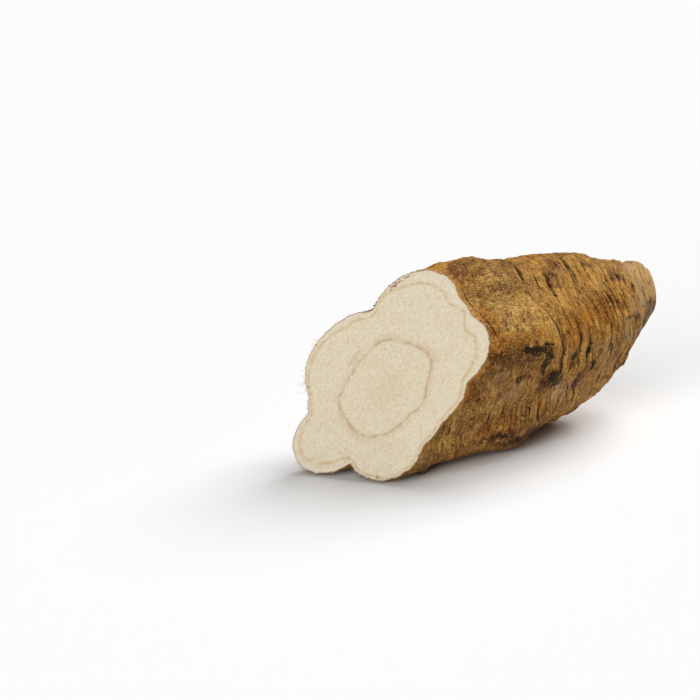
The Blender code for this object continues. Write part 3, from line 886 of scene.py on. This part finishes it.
def new_material(name, rough, refraction, shine):
    """A material, its nodes and its shader, with the values that stay the same all over."""
    made = bpy.data.materials.new(name)
    made.use_nodes = True
    shader = made.node_tree.nodes["Principled BSDF"]
    shader.inputs["Roughness"].default_value = rough
    shader.inputs["IOR"].default_value = refraction
    shader.inputs["Specular IOR Level"].default_value = shine
    return made, made.node_tree, shader


print("ochre in linear light:", [round(part, 3) for part in linear("#CA8C2E")])

# %% Patterns, masks and layers of colour
# A colour Mix node's sockets share their names, so they are reached by number.
MIX_FACTOR, MIX_BELOW, MIX_ABOVE, MIX_RESULT = 0, 6, 7, 2
# The same for a Mix of plain numbers.
NUMBER_BELOW, NUMBER_ABOVE = 2, 3
# Noise passes 0.5 along wandering lines, so its distance from 0.5 draws curls and rings.
DRAWN_AS_LINES = ("curls", "ring_lines")


def noise_patterns(tree, spot, table):
    """Noise for each row: size along and across in mm, detail, roughness, distortion."""
    made = {}
    for name, (along, across, detail, rough, distort) in table.items():
        per_mm = (1 / along, 1 / across, 1 / across)
        scaled = add_node(tree, "VectorMath", {0: spot, 1: per_mm}, operation="MULTIPLY")
        made[name] = add_node(tree, "TexNoise", {
            "Vector": scaled, "Scale": 1.0, "Detail": detail, "Roughness": rough, "Distortion": distort,
        })
        if name in DRAWN_AS_LINES:
            from_middle = add_node(tree, "Math", {0: made[name], 1: 0.5}, operation="SUBTRACT")
            made[name] = add_node(tree, "Math", {0: from_middle}, operation="ABSOLUTE")
    return made


def cut_masks(tree, table):
    """Numbers from 0 to 1 for each row: a source, where the mask starts and where it is full.
    A fourth value limits it: a number, or the name of a mask made before."""
    made = {}
    for name, (source, start, full, *limits) in table.items():
        made[name] = add_node(
            tree, "MapRange", {"Value": source, "From Min": start, "From Max": full},
            interpolation_type="SMOOTHSTEP",
        )
        for limit in limits:
            limit = made[limit] if isinstance(limit, str) else limit
            made[name] = add_node(tree, "Math", {0: made[name], 1: limit}, operation="MULTIPLY")
    return made


def lay_colours(tree, shader, ground, layers, mask):
    """Mix each layer over those before it. A glaze multiplies what lies under it, for stains and for
    painted shade.
    """
    colour = linear(ground)
    for name, above, strength in layers:
        amount = {0: mask[name.split()[0]], 1: strength}
        colour = add_node(tree, "Mix", {
            MIX_FACTOR: add_node(tree, "Math", amount, operation="MULTIPLY", use_clamp=True),
            MIX_BELOW: colour, MIX_ABOVE: linear(above),
        }, MIX_RESULT, data_type="RGBA", blend_type="MULTIPLY" if name.endswith("glaze") else "MIX")
    tree.links.new(colour, shader.inputs["Base Color"])
    print(len(layers), "layers of colour")


# %% [markdown]
# ## White floor
# The floor is seamless white paper: matt, with no grain that would show. A plain colour that
# doesn't shine is enough, and keeps the eye on the root.

# %% Floor material
paper, _, paper_shader = new_material("white_seamless_paper", rough=1.0, refraction=1.5, shine=0.0)
paper_shader.inputs["Base Color"].default_value = linear("#F4F4F4")
floor_data.materials.append(paper)
print("floor of", paper.name)

# %% [markdown]
# ## Bark
# The skin of the root is cork: thin, dry and matt. It is ochre along the top and grey-brown
# down the side and underneath, partly its own tone and partly painted light and shade. To the
# eye it is a mottle of warm browns, broken by short fibres and pale curls, dark specks a
# millimetre long, and dark dirt in every crease. The tip has lost its bark, and shows smooth
# tan wood with thin dark grooves. A photograph could be wrapped round, but it would bring its
# own light and stretch at the tip. Layers of noise go from broad to fine instead, each with its
# size in millimetres, and each is mixed over the one before.

# %% Bark: patterns by size
bark, tree, shader = new_material("dry_root_bark", rough=0.7, refraction=1.45, shine=0.15)
number = {name: add_node(tree, "Attribute", {}, "Fac", attribute_name=name) for name in skin_numbers}
spot = add_node(tree, "Attribute", {}, "Vector", attribute_name="skin_mm")
pattern = noise_patterns(tree, spot, {
    "patches": (16.0, 10.0, 3, 0.6, 0.4),
    "mottle_along": (4.0, 2.4, 4, 0.6, 0.5),
    "mottle_round": (3.2, 4.4, 4, 0.6, 0.5),
    "fibres_along": (3.2, 0.8, 4, 0.6, 0.8),
    "fibres_round": (1.0, 2.2, 4, 0.6, 0.8),
    "ring_lines": (3.4, 26.0, 1, 0.5, 0.3),
    "curls": (2.6, 1.7, 2, 0.5, 1.4),
    "grain": (1.1, 0.9, 3, 0.6, 0.4),
    "bands": (6.0, 20.0, 3, 0.55, 0.5),
    "streaks": (1.5, 13.0, 2, 0.5, 0.4),
    "edges": (2.4, 1.9, 5, 0.75, 0.4),
    "dash_fibres": (3.4, 0.7, 2, 0.5, 0.5),
})
# Fibres and mottle lie along the root near the cut and turn round it further on.
for name in ("mottle", "fibres"):
    ends = {NUMBER_BELOW: pattern[name + "_round"], NUMBER_ABOVE: pattern[name + "_along"]}
    turning = {MIX_FACTOR: number["lengthwise"], **ends}
    pattern[name] = add_node(tree, "Mix", turning, data_type="FLOAT")
print(len(pattern), "bark patterns")

# %% Bark: specks and flecks
# Lenticels and broken rootlets are dark specks under 1 mm. Small torn scales and cracks leave
# flecks a millimetre wide and two or three long, along the root near the cut and round it
# beyond. Each: spacing along and across, how the edge noise bends it, which of the cell's
# random numbers sets its size, from which draw on it shows, and its largest reach.
CELLS = {
    "specks": (3.0, 2.4, (0.5, 0.5, 0.5), "Red", 0.45, 0.30),
    "flecks_along": (6.5, 2.4, (1.1, 0.9, 0.7), "Green", 0.4, 0.34),
    "flecks_round": (2.8, 7.0, (1.1, 0.9, 0.7), "Green", 0.4, 0.30),
}
cell_depth = {}
for name, (along, across, bend, chance, shows_from, largest) in CELLS.items():
    per_mm = (1 / along, 1 / across, 1 / across)
    placed = add_node(tree, "VectorMath", {0: spot, 1: per_mm}, operation="MULTIPLY")
    bent = add_node(tree, "VectorMath", {0: pattern["edges"], 1: bend, 2: placed}, operation="MULTIPLY_ADD")
    distance = add_node(tree, "TexVoronoi", {"Vector": bent, "Scale": 1.0, "Randomness": 1.0}, "Distance")
    drawn = add_node(tree, "SeparateColor", {"Color": distance.node.outputs["Color"]}, chance)
    reach = add_node(tree, "MapRange", {
        "Value": drawn, "From Min": shows_from, "From Max": 1.0, "To Min": -0.05, "To Max": largest,
    })
    cell_depth[name] = add_node(tree, "Math", {0: reach, 1: distance}, operation="SUBTRACT")
print(len(cell_depth), "kinds of specks and flecks")

# %% Bark: ragged edges
# Edge noise makes the border of each mark ragged, by so much.
EDGE_NOISE = {
    "scab": 1.7, "ash_sheen_and_shade": 2.0, "dirt": 0.6, "rust": 1.5, "gold_and_painted_light": 1.6, "dashes": 0.8, "bare_tip": 0.8,
    "umber": 1.8, "pale": 2.0, "lip_wear_and_highlight": 0.8, "crest": 1.0, "hollow": 1.0, "cut_edge": 1.2,
}
SCAB_CRUMBS = 2.4
shift = add_node(tree, "Math", {0: pattern["edges"], 1: 0.5}, operation="SUBTRACT")
ragged = {
    name: add_node(tree, "Math", {0: shift, 1: amount, 2: number[name]}, operation="MULTIPLY_ADD")
    for name, amount in EDGE_NOISE.items()
}
# A scab has crumbled, so its edge is rougher still, down to the size of the grain.
crumbs = add_node(tree, "Math", {0: pattern["grain"], 1: 0.5}, operation="SUBTRACT")
crumbled = {0: crumbs, 1: SCAB_CRUMBS, 2: ragged["scab"]}
ragged["scab"] = add_node(tree, "Math", crumbled, operation="MULTIPLY_ADD")
# Where patterns run round the root, and where it has ring lines: there, short of the tip.
beyond = add_node(tree, "Math", {0: 1.0, 1: number["lengthwise"]}, operation="SUBTRACT")
ringed = add_node(tree, "Math", {0: beyond, 1: number["bare_tip"]}, operation="SUBTRACT", use_clamp=True)
print(len(ragged), "ragged edges")

# %% Bark: masks
mask = cut_masks(tree, {
    "gold_and_painted_light": (ragged["gold_and_painted_light"], 0.0, 1.0),
    "patches": (pattern["patches"], 0.40, 0.64),
    "mottle": (pattern["mottle"], 0.48, 0.62),
    "pale_mottle": (pattern["mottle"], 0.48, 0.36),
    "fibres": (pattern["fibres"], 0.52, 0.64),
    "pale_fibres": (pattern["fibres"], 0.48, 0.36),
    "curls": (pattern["curls"], 0.045, 0.01, number["curly"]),
    "curl_gaps": (pattern["curls"], 0.07, 0.14, number["curly"]),
    "ring_lines": (pattern["ring_lines"], 0.026, 0.008, ringed),
    "grain": (pattern["grain"], 0.48, 0.36),
    "pale_grain": (pattern["grain"], 0.51, 0.64),
    "rust": (ragged["rust"], 0.2, 0.9),
    "umber": (ragged["umber"], 0.1, 0.9),
    "pale": (ragged["pale"], 0.2, 0.9),
    "crest": (ragged["crest"], 0.25, 0.95),
    "hollow": (ragged["hollow"], 0.15, 0.8),
    "cut_edge": (ragged["cut_edge"], 0.3, 0.9),
    "bands": (pattern["bands"], 0.49, 0.60),
    "pale_bands": (pattern["bands"], 0.47, 0.38),
    "lip_wear_and_highlight": (ragged["lip_wear_and_highlight"], 0.1, 0.8),
    "streaks": (pattern["streaks"], 0.42, 0.6),
    "ash_sheen_and_shade": (ragged["ash_sheen_and_shade"], 0.2, 0.9, "streaks"),
    "bare_tip": (ragged["bare_tip"], 0.35, 0.7),
    "tip_lines": (number["tip_groove"], 0.3, 0.9, "bare_tip"),
    "tip_grain": (pattern["grain"], 0.5, 0.36, "bare_tip"),
    "tip_blotches": (pattern["patches"], 0.45, 0.6, "bare_tip"),
    "dirt": (ragged["dirt"], 0.08, 0.62),
    "scab": (ragged["scab"], 0.35, 0.95),
    "dashes": (pattern["dash_fibres"], 0.53, 0.60, ragged["dashes"]),
    "specks": (cell_depth["specks"], 0.0, 0.12),
    "flecks_along": (cell_depth["flecks_along"], 0.0, 0.14, number["lengthwise"]),
    "flecks_round": (cell_depth["flecks_round"], 0.0, 0.14, beyond),
})
print(len(mask), "bark masks")

# %% Bark: colours, layer over layer
# Each layer: mask, colour, strength.
lay_colours(tree, shader, "#8B5E30", (
    # Golden on top, greyer and darker below: partly the bark's tone, partly painted light and shade.
    ("gold_and_painted_light", "#CA8C2E", 0.9),
    ("patches", "#7C4A14", 0.5),
    # Pale ovals: partly rubbed bark, partly a painted highlight on the top near the cut.
    ("pale", "#E6B058", 0.85),
    ("bands", "#6C3D0C", 0.45),
    ("pale_bands", "#CC963F", 0.3),
    ("mottle", "#5E350C", 0.5),
    ("pale_mottle", "#DCA64C", 0.35),
    ("crest", "#EBBA62", 0.4),
    ("hollow", "#4C2A0A", 0.5),
    # Paler crease lips: partly wear, partly a painted highlight on the raised lips.
    ("lip_wear_and_highlight", "#D2A25A", 0.45),
    ("pale_fibres", "#E2AF60", 0.3),
    ("fibres", "#4E2B0A", 0.4),
    ("pale_grain", "#E4B768", 0.3),
    ("grain", "#4A2A0C", 0.32),
    ("curl_gaps", "#6A3D10", 0.45),
    ("curls", "#F4CC7E", 0.65),
    ("cut_edge", "#C08236", 0.65),
    ("bare_tip", "#C8A068", 0.9),
    ("tip_blotches", "#8E6C40", 0.3),
    ("tip_grain", "#94703E", 0.4),
    ("tip_lines", "#6E4C28", 0.65),
    ("rust glaze", "#EED09C", 0.9),
    # Dark brown glaze: partly stains, partly painted shade under the right lobe and under the tip.
    ("umber glaze", "#8E7A68", 0.9),
    # Grey ovals: partly scuffs, partly a painted sheen before the tip and painted shade under it.
    ("ash_sheen_and_shade", "#A8957F", 0.65),
    ("ring_lines", "#482A16", 0.42),
    ("specks", "#3C2310", 0.7),
    ("flecks_along", "#3A210D", 0.7),
    ("flecks_round", "#3A210D", 0.5),
    ("dashes", "#43290F", 0.6),
    ("dirt", "#34200F", 0.95),
    ("scab", "#1E130C", 0.94),
), mask)

# %% Bark: gloss and fine relief
# Dry cork is matt, about 0.7 rough. Where folds are rubbed it shines a little.
gloss = {"Value": pattern["mottle"], "From Min": 0.3, "From Max": 0.7, "To Min": 0.55, "To Max": 0.8}
tree.links.new(add_node(tree, "MapRange", gloss), shader.inputs["Roughness"])
# Heights in millimetres, of patterns and of masks.
PATTERN_RELIEF = {"mottle": 0.25, "fibres": -0.1, "grain": 0.5}
MASK_RELIEF = {"specks": -0.25, "scab": -0.15, "dashes": -0.2, "curls": 0.12, "ring_lines": -0.25}
total = 0.0
for source, rises in ((pattern, PATTERN_RELIEF), (mask, MASK_RELIEF)):
    for name, rise in rises.items():
        total = add_node(tree, "Math", {0: source[name], 1: rise, 2: total}, operation="MULTIPLY_ADD")
bark_bump = add_node(tree, "Bump", {"Height": total, "Strength": 1.0, "Distance": MM})
tree.links.new(bark_bump, shader.inputs["Normal"])
skin_data.materials.append(bark)
print(len(tree.nodes), "nodes in", bark.name)

# %% [markdown]
# ## Flesh
# The cut shows starch packed between tough fibres: cream, matt, with a fine granular mottle
# about a millimetre across. A thin tan ring marks the core, and a fainter line follows the
# skin one to seven millimetres inside it. The outermost half millimetre is the edge of the
# bark itself. The lines could be drawn on an image, but the numbers on the disc's points
# keep them sharp at any size.

# %% Flesh: patterns
flesh, tree, shader = new_material("fresh_cut_starchy_flesh", rough=0.8, refraction=1.45, shine=0.3)
number = {name: add_node(tree, "Attribute", {}, "Fac", attribute_name=name) for name in CUT_NUMBERS}
spot = add_node(tree, "Attribute", {}, "Vector", attribute_name="skin_mm")
pattern = noise_patterns(tree, spot, {
    "clouds": (9.0, 9.0, 3, 0.5, 0.0),
    "granules": (1.3, 1.3, 3, 0.6, 0.0),
    "flecks": (0.9, 0.9, 2, 0.6, 0.0),
    "wander": (5.0, 5.0, 2, 0.5, 0.0),
    "breaks": (3.0, 3.0, 3, 0.6, 0.0),
    "curls": (2.6, 2.6, 2, 0.5, 1.6),
    "shred_edge": (1.2, 1.2, 3, 0.7, 0.5),
})
SHRED_ROUGH = 2.6
shred = {0: pattern["shred_edge"], 1: SHRED_ROUGH, 2: number["in_shred"]}
shred_rough = add_node(tree, "Math", shred, operation="MULTIPLY_ADD")
print(len(pattern), "flesh patterns")

# %% Flesh: lines and masks
# Each line: the number it follows, where it lies, its half width, and how far it wanders.
FLESH_LINES = {
    "core_line": ("core_ring", 1.0, 0.06, 0.06),
    "core_halo": ("core_ring", 1.05, 0.17, 0.10),
    "inner_bark_line": ("from_bark_line", 0.0, 1.0, 1.2),
    "inner_bark_glow": ("from_bark_line", -0.3, 2.2, 1.0),
}
# The lines are fainter in places, but never quite gone.
broken = add_node(
    tree, "MapRange", {"Value": pattern["breaks"], "From Min": 0.36, "From Max": 0.6, "To Min": 0.25},
    interpolation_type="SMOOTHSTEP",
)
line_masks = {}
for name, (follows, lies, half_wide, wanders) in FLESH_LINES.items():
    wandering = {0: pattern["wander"], 1: wanders, 2: number[follows]}
    shift = add_node(tree, "Math", wandering, operation="MULTIPLY_ADD")
    away = add_node(tree, "Math", {0: shift, 1: lies + wanders / 2}, operation="SUBTRACT")
    line_masks[name] = (add_node(tree, "Math", {0: away}, operation="ABSOLUTE"), half_wide, 0.0, broken)
mask = cut_masks(tree, {
    **line_masks,
    "clouds": (pattern["clouds"], 0.4, 0.65),
    "granules": (pattern["granules"], 0.5, 0.68),
    "pale_granules": (pattern["granules"], 0.46, 0.3),
    "flecks": (pattern["flecks"], 0.6, 0.72),
    "inside_core": (number["core_ring"], 1.02, 0.95),
    "heart": (number["core_ring"], 0.6, 0.2),
    "outer_band": (number["from_bark_line"], 0.5, -1.5),
    "bark_edge": (number["under_skin"], 0.75, 0.1),
    "second_arc": (number["on_second_arc"], 0.0, 0.9),
    "split": (number["in_split"], 0.1, 0.8),
    "curls": (pattern["curls"], 0.045, 0.008),
    "shreds": (shred_rough, 1.9, 2.3),
})
print(len(mask), "flesh masks")

# %% Flesh: colours and surface
lay_colours(tree, shader, "#E3D6BB", (
    ("clouds", "#DDCDAC", 0.5),
    ("inside_core", "#E0D2B5", 0.6),
    ("heart", "#DAC6A2", 0.6),
    ("outer_band", "#E6DAC3", 0.5),
    ("granules", "#CDB688", 0.42),
    ("pale_granules", "#EFE6D0", 0.4),
    ("curls", "#F3EBD9", 0.5),
    ("flecks", "#C9A467", 0.45),
    ("core_halo", "#CFAE84", 0.35),
    ("core_line", "#BE9570", 0.62),
    ("second_arc", "#C8A47C", 0.5),
    ("inner_bark_glow", "#D6BC8E", 0.35),
    ("inner_bark_line", "#C6A068", 0.48),
    ("bark_edge", "#8E6537", 0.7),
    ("split", "#6B4A2C", 0.8),
    ("shreds", "#8A5A2A", 0.85),
), mask)
# The flesh is gritty to the touch, by a fifth of a millimetre at most.
GRANULE_SHARE, GRIT_STRENGTH, GRIT_HEIGHT = 0.35, 0.5, 0.2
heights = {0: pattern["granules"], 1: GRANULE_SHARE, 2: pattern["flecks"]}
grit = add_node(tree, "Math", heights, operation="MULTIPLY_ADD")
gritty = {"Height": grit, "Strength": GRIT_STRENGTH, "Distance": GRIT_HEIGHT * MM}
flesh_bump = add_node(tree, "Bump", gritty)
tree.links.new(flesh_bump, shader.inputs["Normal"])
skin_data.materials.append(flesh)
print(len(tree.nodes), "nodes in", flesh.name)

# %% [markdown]
# ## Torn fibres
# The knife tore the skin as it left it, and white fibres hang from the rim, most of them on
# the left. A hair system could grow them, but hairs are no solid mesh. Each fibre here is a
# thin bent spike, closed all round. It starts inside the root, so none of them floats.

# %% Torn fibres
# Stretches of the rim: first and last angle, how many, shortest and longest in millimetres.
FIBRE_TUFTS = (
    (335, 385, 46, 0.7, 2.2), (385, 425, 26, 0.4, 1.2), (225, 335, 34, 0.3, 0.9), (70, 130, 26, 0.3, 1),
    (349, 352, 2, 4, 4.6),
)
FIBRE_THICK = 0.28
FIBRE_BENDS = 4
FIBRE_ROOT = 0.5
# How far fibres lean out of the cut, spread along the rim, bend and taper.
FIBRE_LEANS, FIBRE_SPREAD, FIBRE_BEND, FIBRE_TAPER = (-0.3, 0.5), 0.45, 0.35, 0.6
THIRD_TURNS = (0, 2.1, 4.2)
rim_draw = np.random.default_rng(RANDOM_SEED + 1)


def rim_place(degrees):
    """The rim's point at this angle, the way outwards there, and the way along the rim."""
    at = math.radians(degrees % 360)
    reach = float(np.interp(at, rim_angles, rim_reach, period=2 * math.pi))
    here = on_cut(reach * math.cos(at), core.z + reach * math.sin(at))
    outwards = (here - core).normalized()
    return here, outwards, cut_normal.cross(outwards)


def new_piece(name, points, faces, material):
    """A mesh piece from points in drawing millimetres, laid down like the root."""
    data = bpy.data.meshes.new(name)
    data.from_pydata([to_rest @ point for point in points], [], faces)
    layer = data.attributes.new("skin_mm", "FLOAT_VECTOR", "POINT")
    layer.data.foreach_set("vector", np.array(points, dtype=np.float32).ravel())
    data.materials.append(material)
    piece = bpy.data.objects.new(name, data)
    scene.collection.objects.link(piece)
    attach(piece, "root")
    print(name, len(faces), "faces")


def fibre(points, faces, middles, thick, up):
    """Add a three-sided spike along these points, thinner towards its end."""
    start = len(points)
    for k, middle in enumerate(middles[:-1]):
        # Each ring faces along its own stretch, so a fibre may curl right back on itself.
        way = (middles[k + 1] - middle).normalized()
        across = up.cross(way).normalized()
        rise = way.cross(across)
        half = thick * (1 - FIBRE_TAPER * k / len(middles)) / 2
        for corner_turn in THIRD_TURNS:
            points.append(middle + (across * math.cos(corner_turn) + rise * math.sin(corner_turn)) * half)
    points.append(middles[-1])
    faces.append((start + 2, start + 1, start))
    for k in range(len(middles) - 2):
        for c in range(3):
            a, b = start + 3 * k + c, start + 3 * k + (c + 1) % 3
            faces.append((a, b, b + 3, a + 3))
    last_ring = start + 3 * (len(middles) - 2)
    faces.extend((last_ring + c, last_ring + (c + 1) % 3, last_ring + 3) for c in range(3))


def fibre_material(name, light, dark):
    """Dry plant fibre: rather matt, mottled between two colours over a millimetre or so."""
    made, tree, shader = new_material(name, rough=0.7, refraction=1.45, shine=0.2)
    spot = add_node(tree, "Attribute", {}, "Vector", attribute_name="skin_mm")
    shade = noise_patterns(tree, spot, {"shade": (1.25, 1.25, 2, 0.5, 0.0)})["shade"]
    spread = add_node(tree, "MapRange", {"Value": shade, "From Min": 0.35, "From Max": 0.65})
    ends = {MIX_FACTOR: spread, MIX_BELOW: linear(light), MIX_ABOVE: linear(dark)}
    fibre_colour = add_node(tree, "Mix", ends, MIX_RESULT, data_type="RGBA")
    tree.links.new(fibre_colour, shader.inputs["Base Color"])
    return made


fibre_points, fibre_faces = [], []
for first, last, count, shortest, longest in FIBRE_TUFTS:
    for _ in range(count):
        here, outwards, along = rim_place(rim_draw.uniform(first, last))
        length = rim_draw.uniform(shortest, longest)
        way = outwards + cut_normal * rim_draw.uniform(*FIBRE_LEANS)
        way += along * rim_draw.normal(0, FIBRE_SPREAD)
        way = way.normalized() * (length + FIBRE_ROOT)
        bend = Vector(rim_draw.normal(0, FIBRE_BEND, 3)) * length
        shares = [k / FIBRE_BENDS for k in range(FIBRE_BENDS + 1)]
        middles = [here - outwards * FIBRE_ROOT + way * t + bend * t * t for t in shares]
        fibre(fibre_points, fibre_faces, middles, FIBRE_THICK, along)
white_fibre = fibre_material("torn_white_fibre", "#E8DEC8", "#CDB690")
new_piece("torn_fibres", fibre_points, fibre_faces, white_fibre)

# %% [markdown]
# ## Loose fibres on the bark
# On the bark itself, dry fibres have come loose and curl a few millimetres along the skin.
# Painted curls alone look flat from the side, so over a thousand are modelled too, with the
# same spike. Each walks over the skin in short steps. Both its ends dip into the bark.

# %% Loose fibres
# Patches: x, angle, half length, half width, how many, heading from lengthwise in degrees.
LOOSE_PATCHES = (
    (46, 128, 22, 14, 330, 0), (52, 105, 18, 9, 130, 0), (40, 150, 12, 6, 60, 20),
    (84, 120, 22, 24, 170, 80), (30, 205, 22, 18, 150, 70), (78, 190, 26, 24, 150, 80),
    (0, 60, 30, 24, 170, 0), (50, 20, 40, 30, 220, 70), (30, 320, 50, 30, 160, 60),
    (100, 300, 22, 40, 120, 80),
)
LOOSE_THICK, LOOSE_LIFT, LOOSE_DIP = 0.26, 0.22, 0.08
LOOSE_BENDS = 5
CLEAR_OF_CUT = 0.4
# How the heading varies, in degrees, how strongly a fibre curls, and how long each step is.
HEADING_SPREAD, CURL_SPREAD, STEPS = 35, 0.5, (0.3, 0.75)


def way_out(degrees):
    return Vector((0, math.cos(math.radians(degrees)), math.sin(math.radians(degrees))))


def skin_at(place, degrees, lift):
    """The point of the skin at this x and angle, raised by so many millimetres."""
    row = float(np.interp(place, ring_x, np.arange(len(ring_x))))
    column = degrees / 360 * AROUND
    i, j = min(int(row), len(ring_x) - 2), math.floor(column)
    t, u = row - i, column - j
    a, b = j % AROUND, (j + 1) % AROUND
    before = (1 - t) * points[i, a] + t * points[i + 1, a]
    beyond = (1 - t) * points[i, b] + t * points[i + 1, b]
    return Vector((1 - u) * before + u * beyond) + way_out(degrees) * lift


loose_points, loose_faces = [], []
for place, middle, half_long, half_wide, count, heading in LOOSE_PATCHES:
    for _ in range(count):
        along = place + rim_draw.uniform(-1, 1) * half_long
        around = middle + math.degrees(rim_draw.uniform(-1, 1) * half_wide / ROUND_RADIUS)
        way = math.radians(heading + rim_draw.normal(0, HEADING_SPREAD))
        curl, step = rim_draw.normal(0, CURL_SPREAD), rim_draw.uniform(*STEPS)
        off_skin = way_out(around)
        middles = []
        for k in range(LOOSE_BENDS + 1):
            lift = LOOSE_LIFT * math.sin(math.pi * k / LOOSE_BENDS) - LOOSE_DIP
            middles.append(skin_at(along, around, lift))
            way += curl
            along += step * math.cos(way)
            around += math.degrees(step * math.sin(way) / ROUND_RADIUS)
        if max((spot - core).dot(cut_normal) for spot in middles) < -CLEAR_OF_CUT:
            fibre(loose_points, loose_faces, middles, LOOSE_THICK, off_skin)
bark_fibre = fibre_material("dry_bark_fibre", "#D9AE66", "#8A5E2C")
new_piece("loose_fibres", loose_points, loose_faces, bark_fibre)

# %% [markdown]
# ## Flakes of bark
# Along the top of the cut the knife chipped the bark, and small flakes stand up from the
# rim. They are too thin for the net, so each is a small curled plate of its own, a third of
# a millimetre thick, made of four bent cross-sections and closed at both ends.

# %% Flakes of bark
# Stretches of the rim: first and last angle, how many, smallest and largest in millimetres.
FLAKE_ROWS = (
    (62, 100, 26, 0.8, 2.4), (215, 300, 22, 0.6, 1.6), (20, 50, 8, 0.6, 1.4), (120, 200, 12, 0.6, 1.4),
)
FLAKE_THICK, FLAKE_BACK, FLAKE_SUNK, FLAKE_ROUGH = 0.3, 0.3, 0.15, 0.07
FLAKE_WIDTHS, FLAKE_LIFTS = (0.4, 0.8), (-0.1, 0.7)
flake_points, flake_faces = [], []
for first, last, count, smallest, largest in FLAKE_ROWS:
    for _ in range(count):
        here, outwards, along = rim_place(rim_draw.uniform(first, last))
        long, wide = rim_draw.uniform(smallest, largest), rim_draw.uniform(*FLAKE_WIDTHS)
        lift = rim_draw.uniform(*FLAKE_LIFTS)
        back = (Vector((1, 0, 0)) - outwards * outwards.x).normalized()
        start = len(flake_points)
        for k in range(4):
            share = k / 3 - 0.4
            middle = here + back * FLAKE_BACK - back * long * share * 0.5
            middle += outwards * (lift * max(0.0, share) - FLAKE_SUNK)
            half = along * long * wide * (0.9 - 0.5 * abs(share)) / 2
            for side_way, deep in ((-1, 0), (1, 0), (1, 1), (-1, 1)):
                wobbly = Vector(rim_draw.normal(0, FLAKE_ROUGH, 3))
                flake_points.append(middle + half * side_way - outwards * FLAKE_THICK * deep + wobbly)
        for k in range(3):
            for c in range(4):
                a, b = start + 4 * k + c, start + 4 * k + (c + 1) % 4
                flake_faces.append((a, b, b + 4, a + 4))
        flake_faces.append((start + 3, start + 2, start + 1, start))
        flake_faces.append((start + 12, start + 13, start + 14, start + 15))
new_piece("bark_flakes", flake_points, flake_faces, bark)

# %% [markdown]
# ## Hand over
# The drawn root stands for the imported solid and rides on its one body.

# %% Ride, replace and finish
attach(root, "root")
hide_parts("kudzu_root")
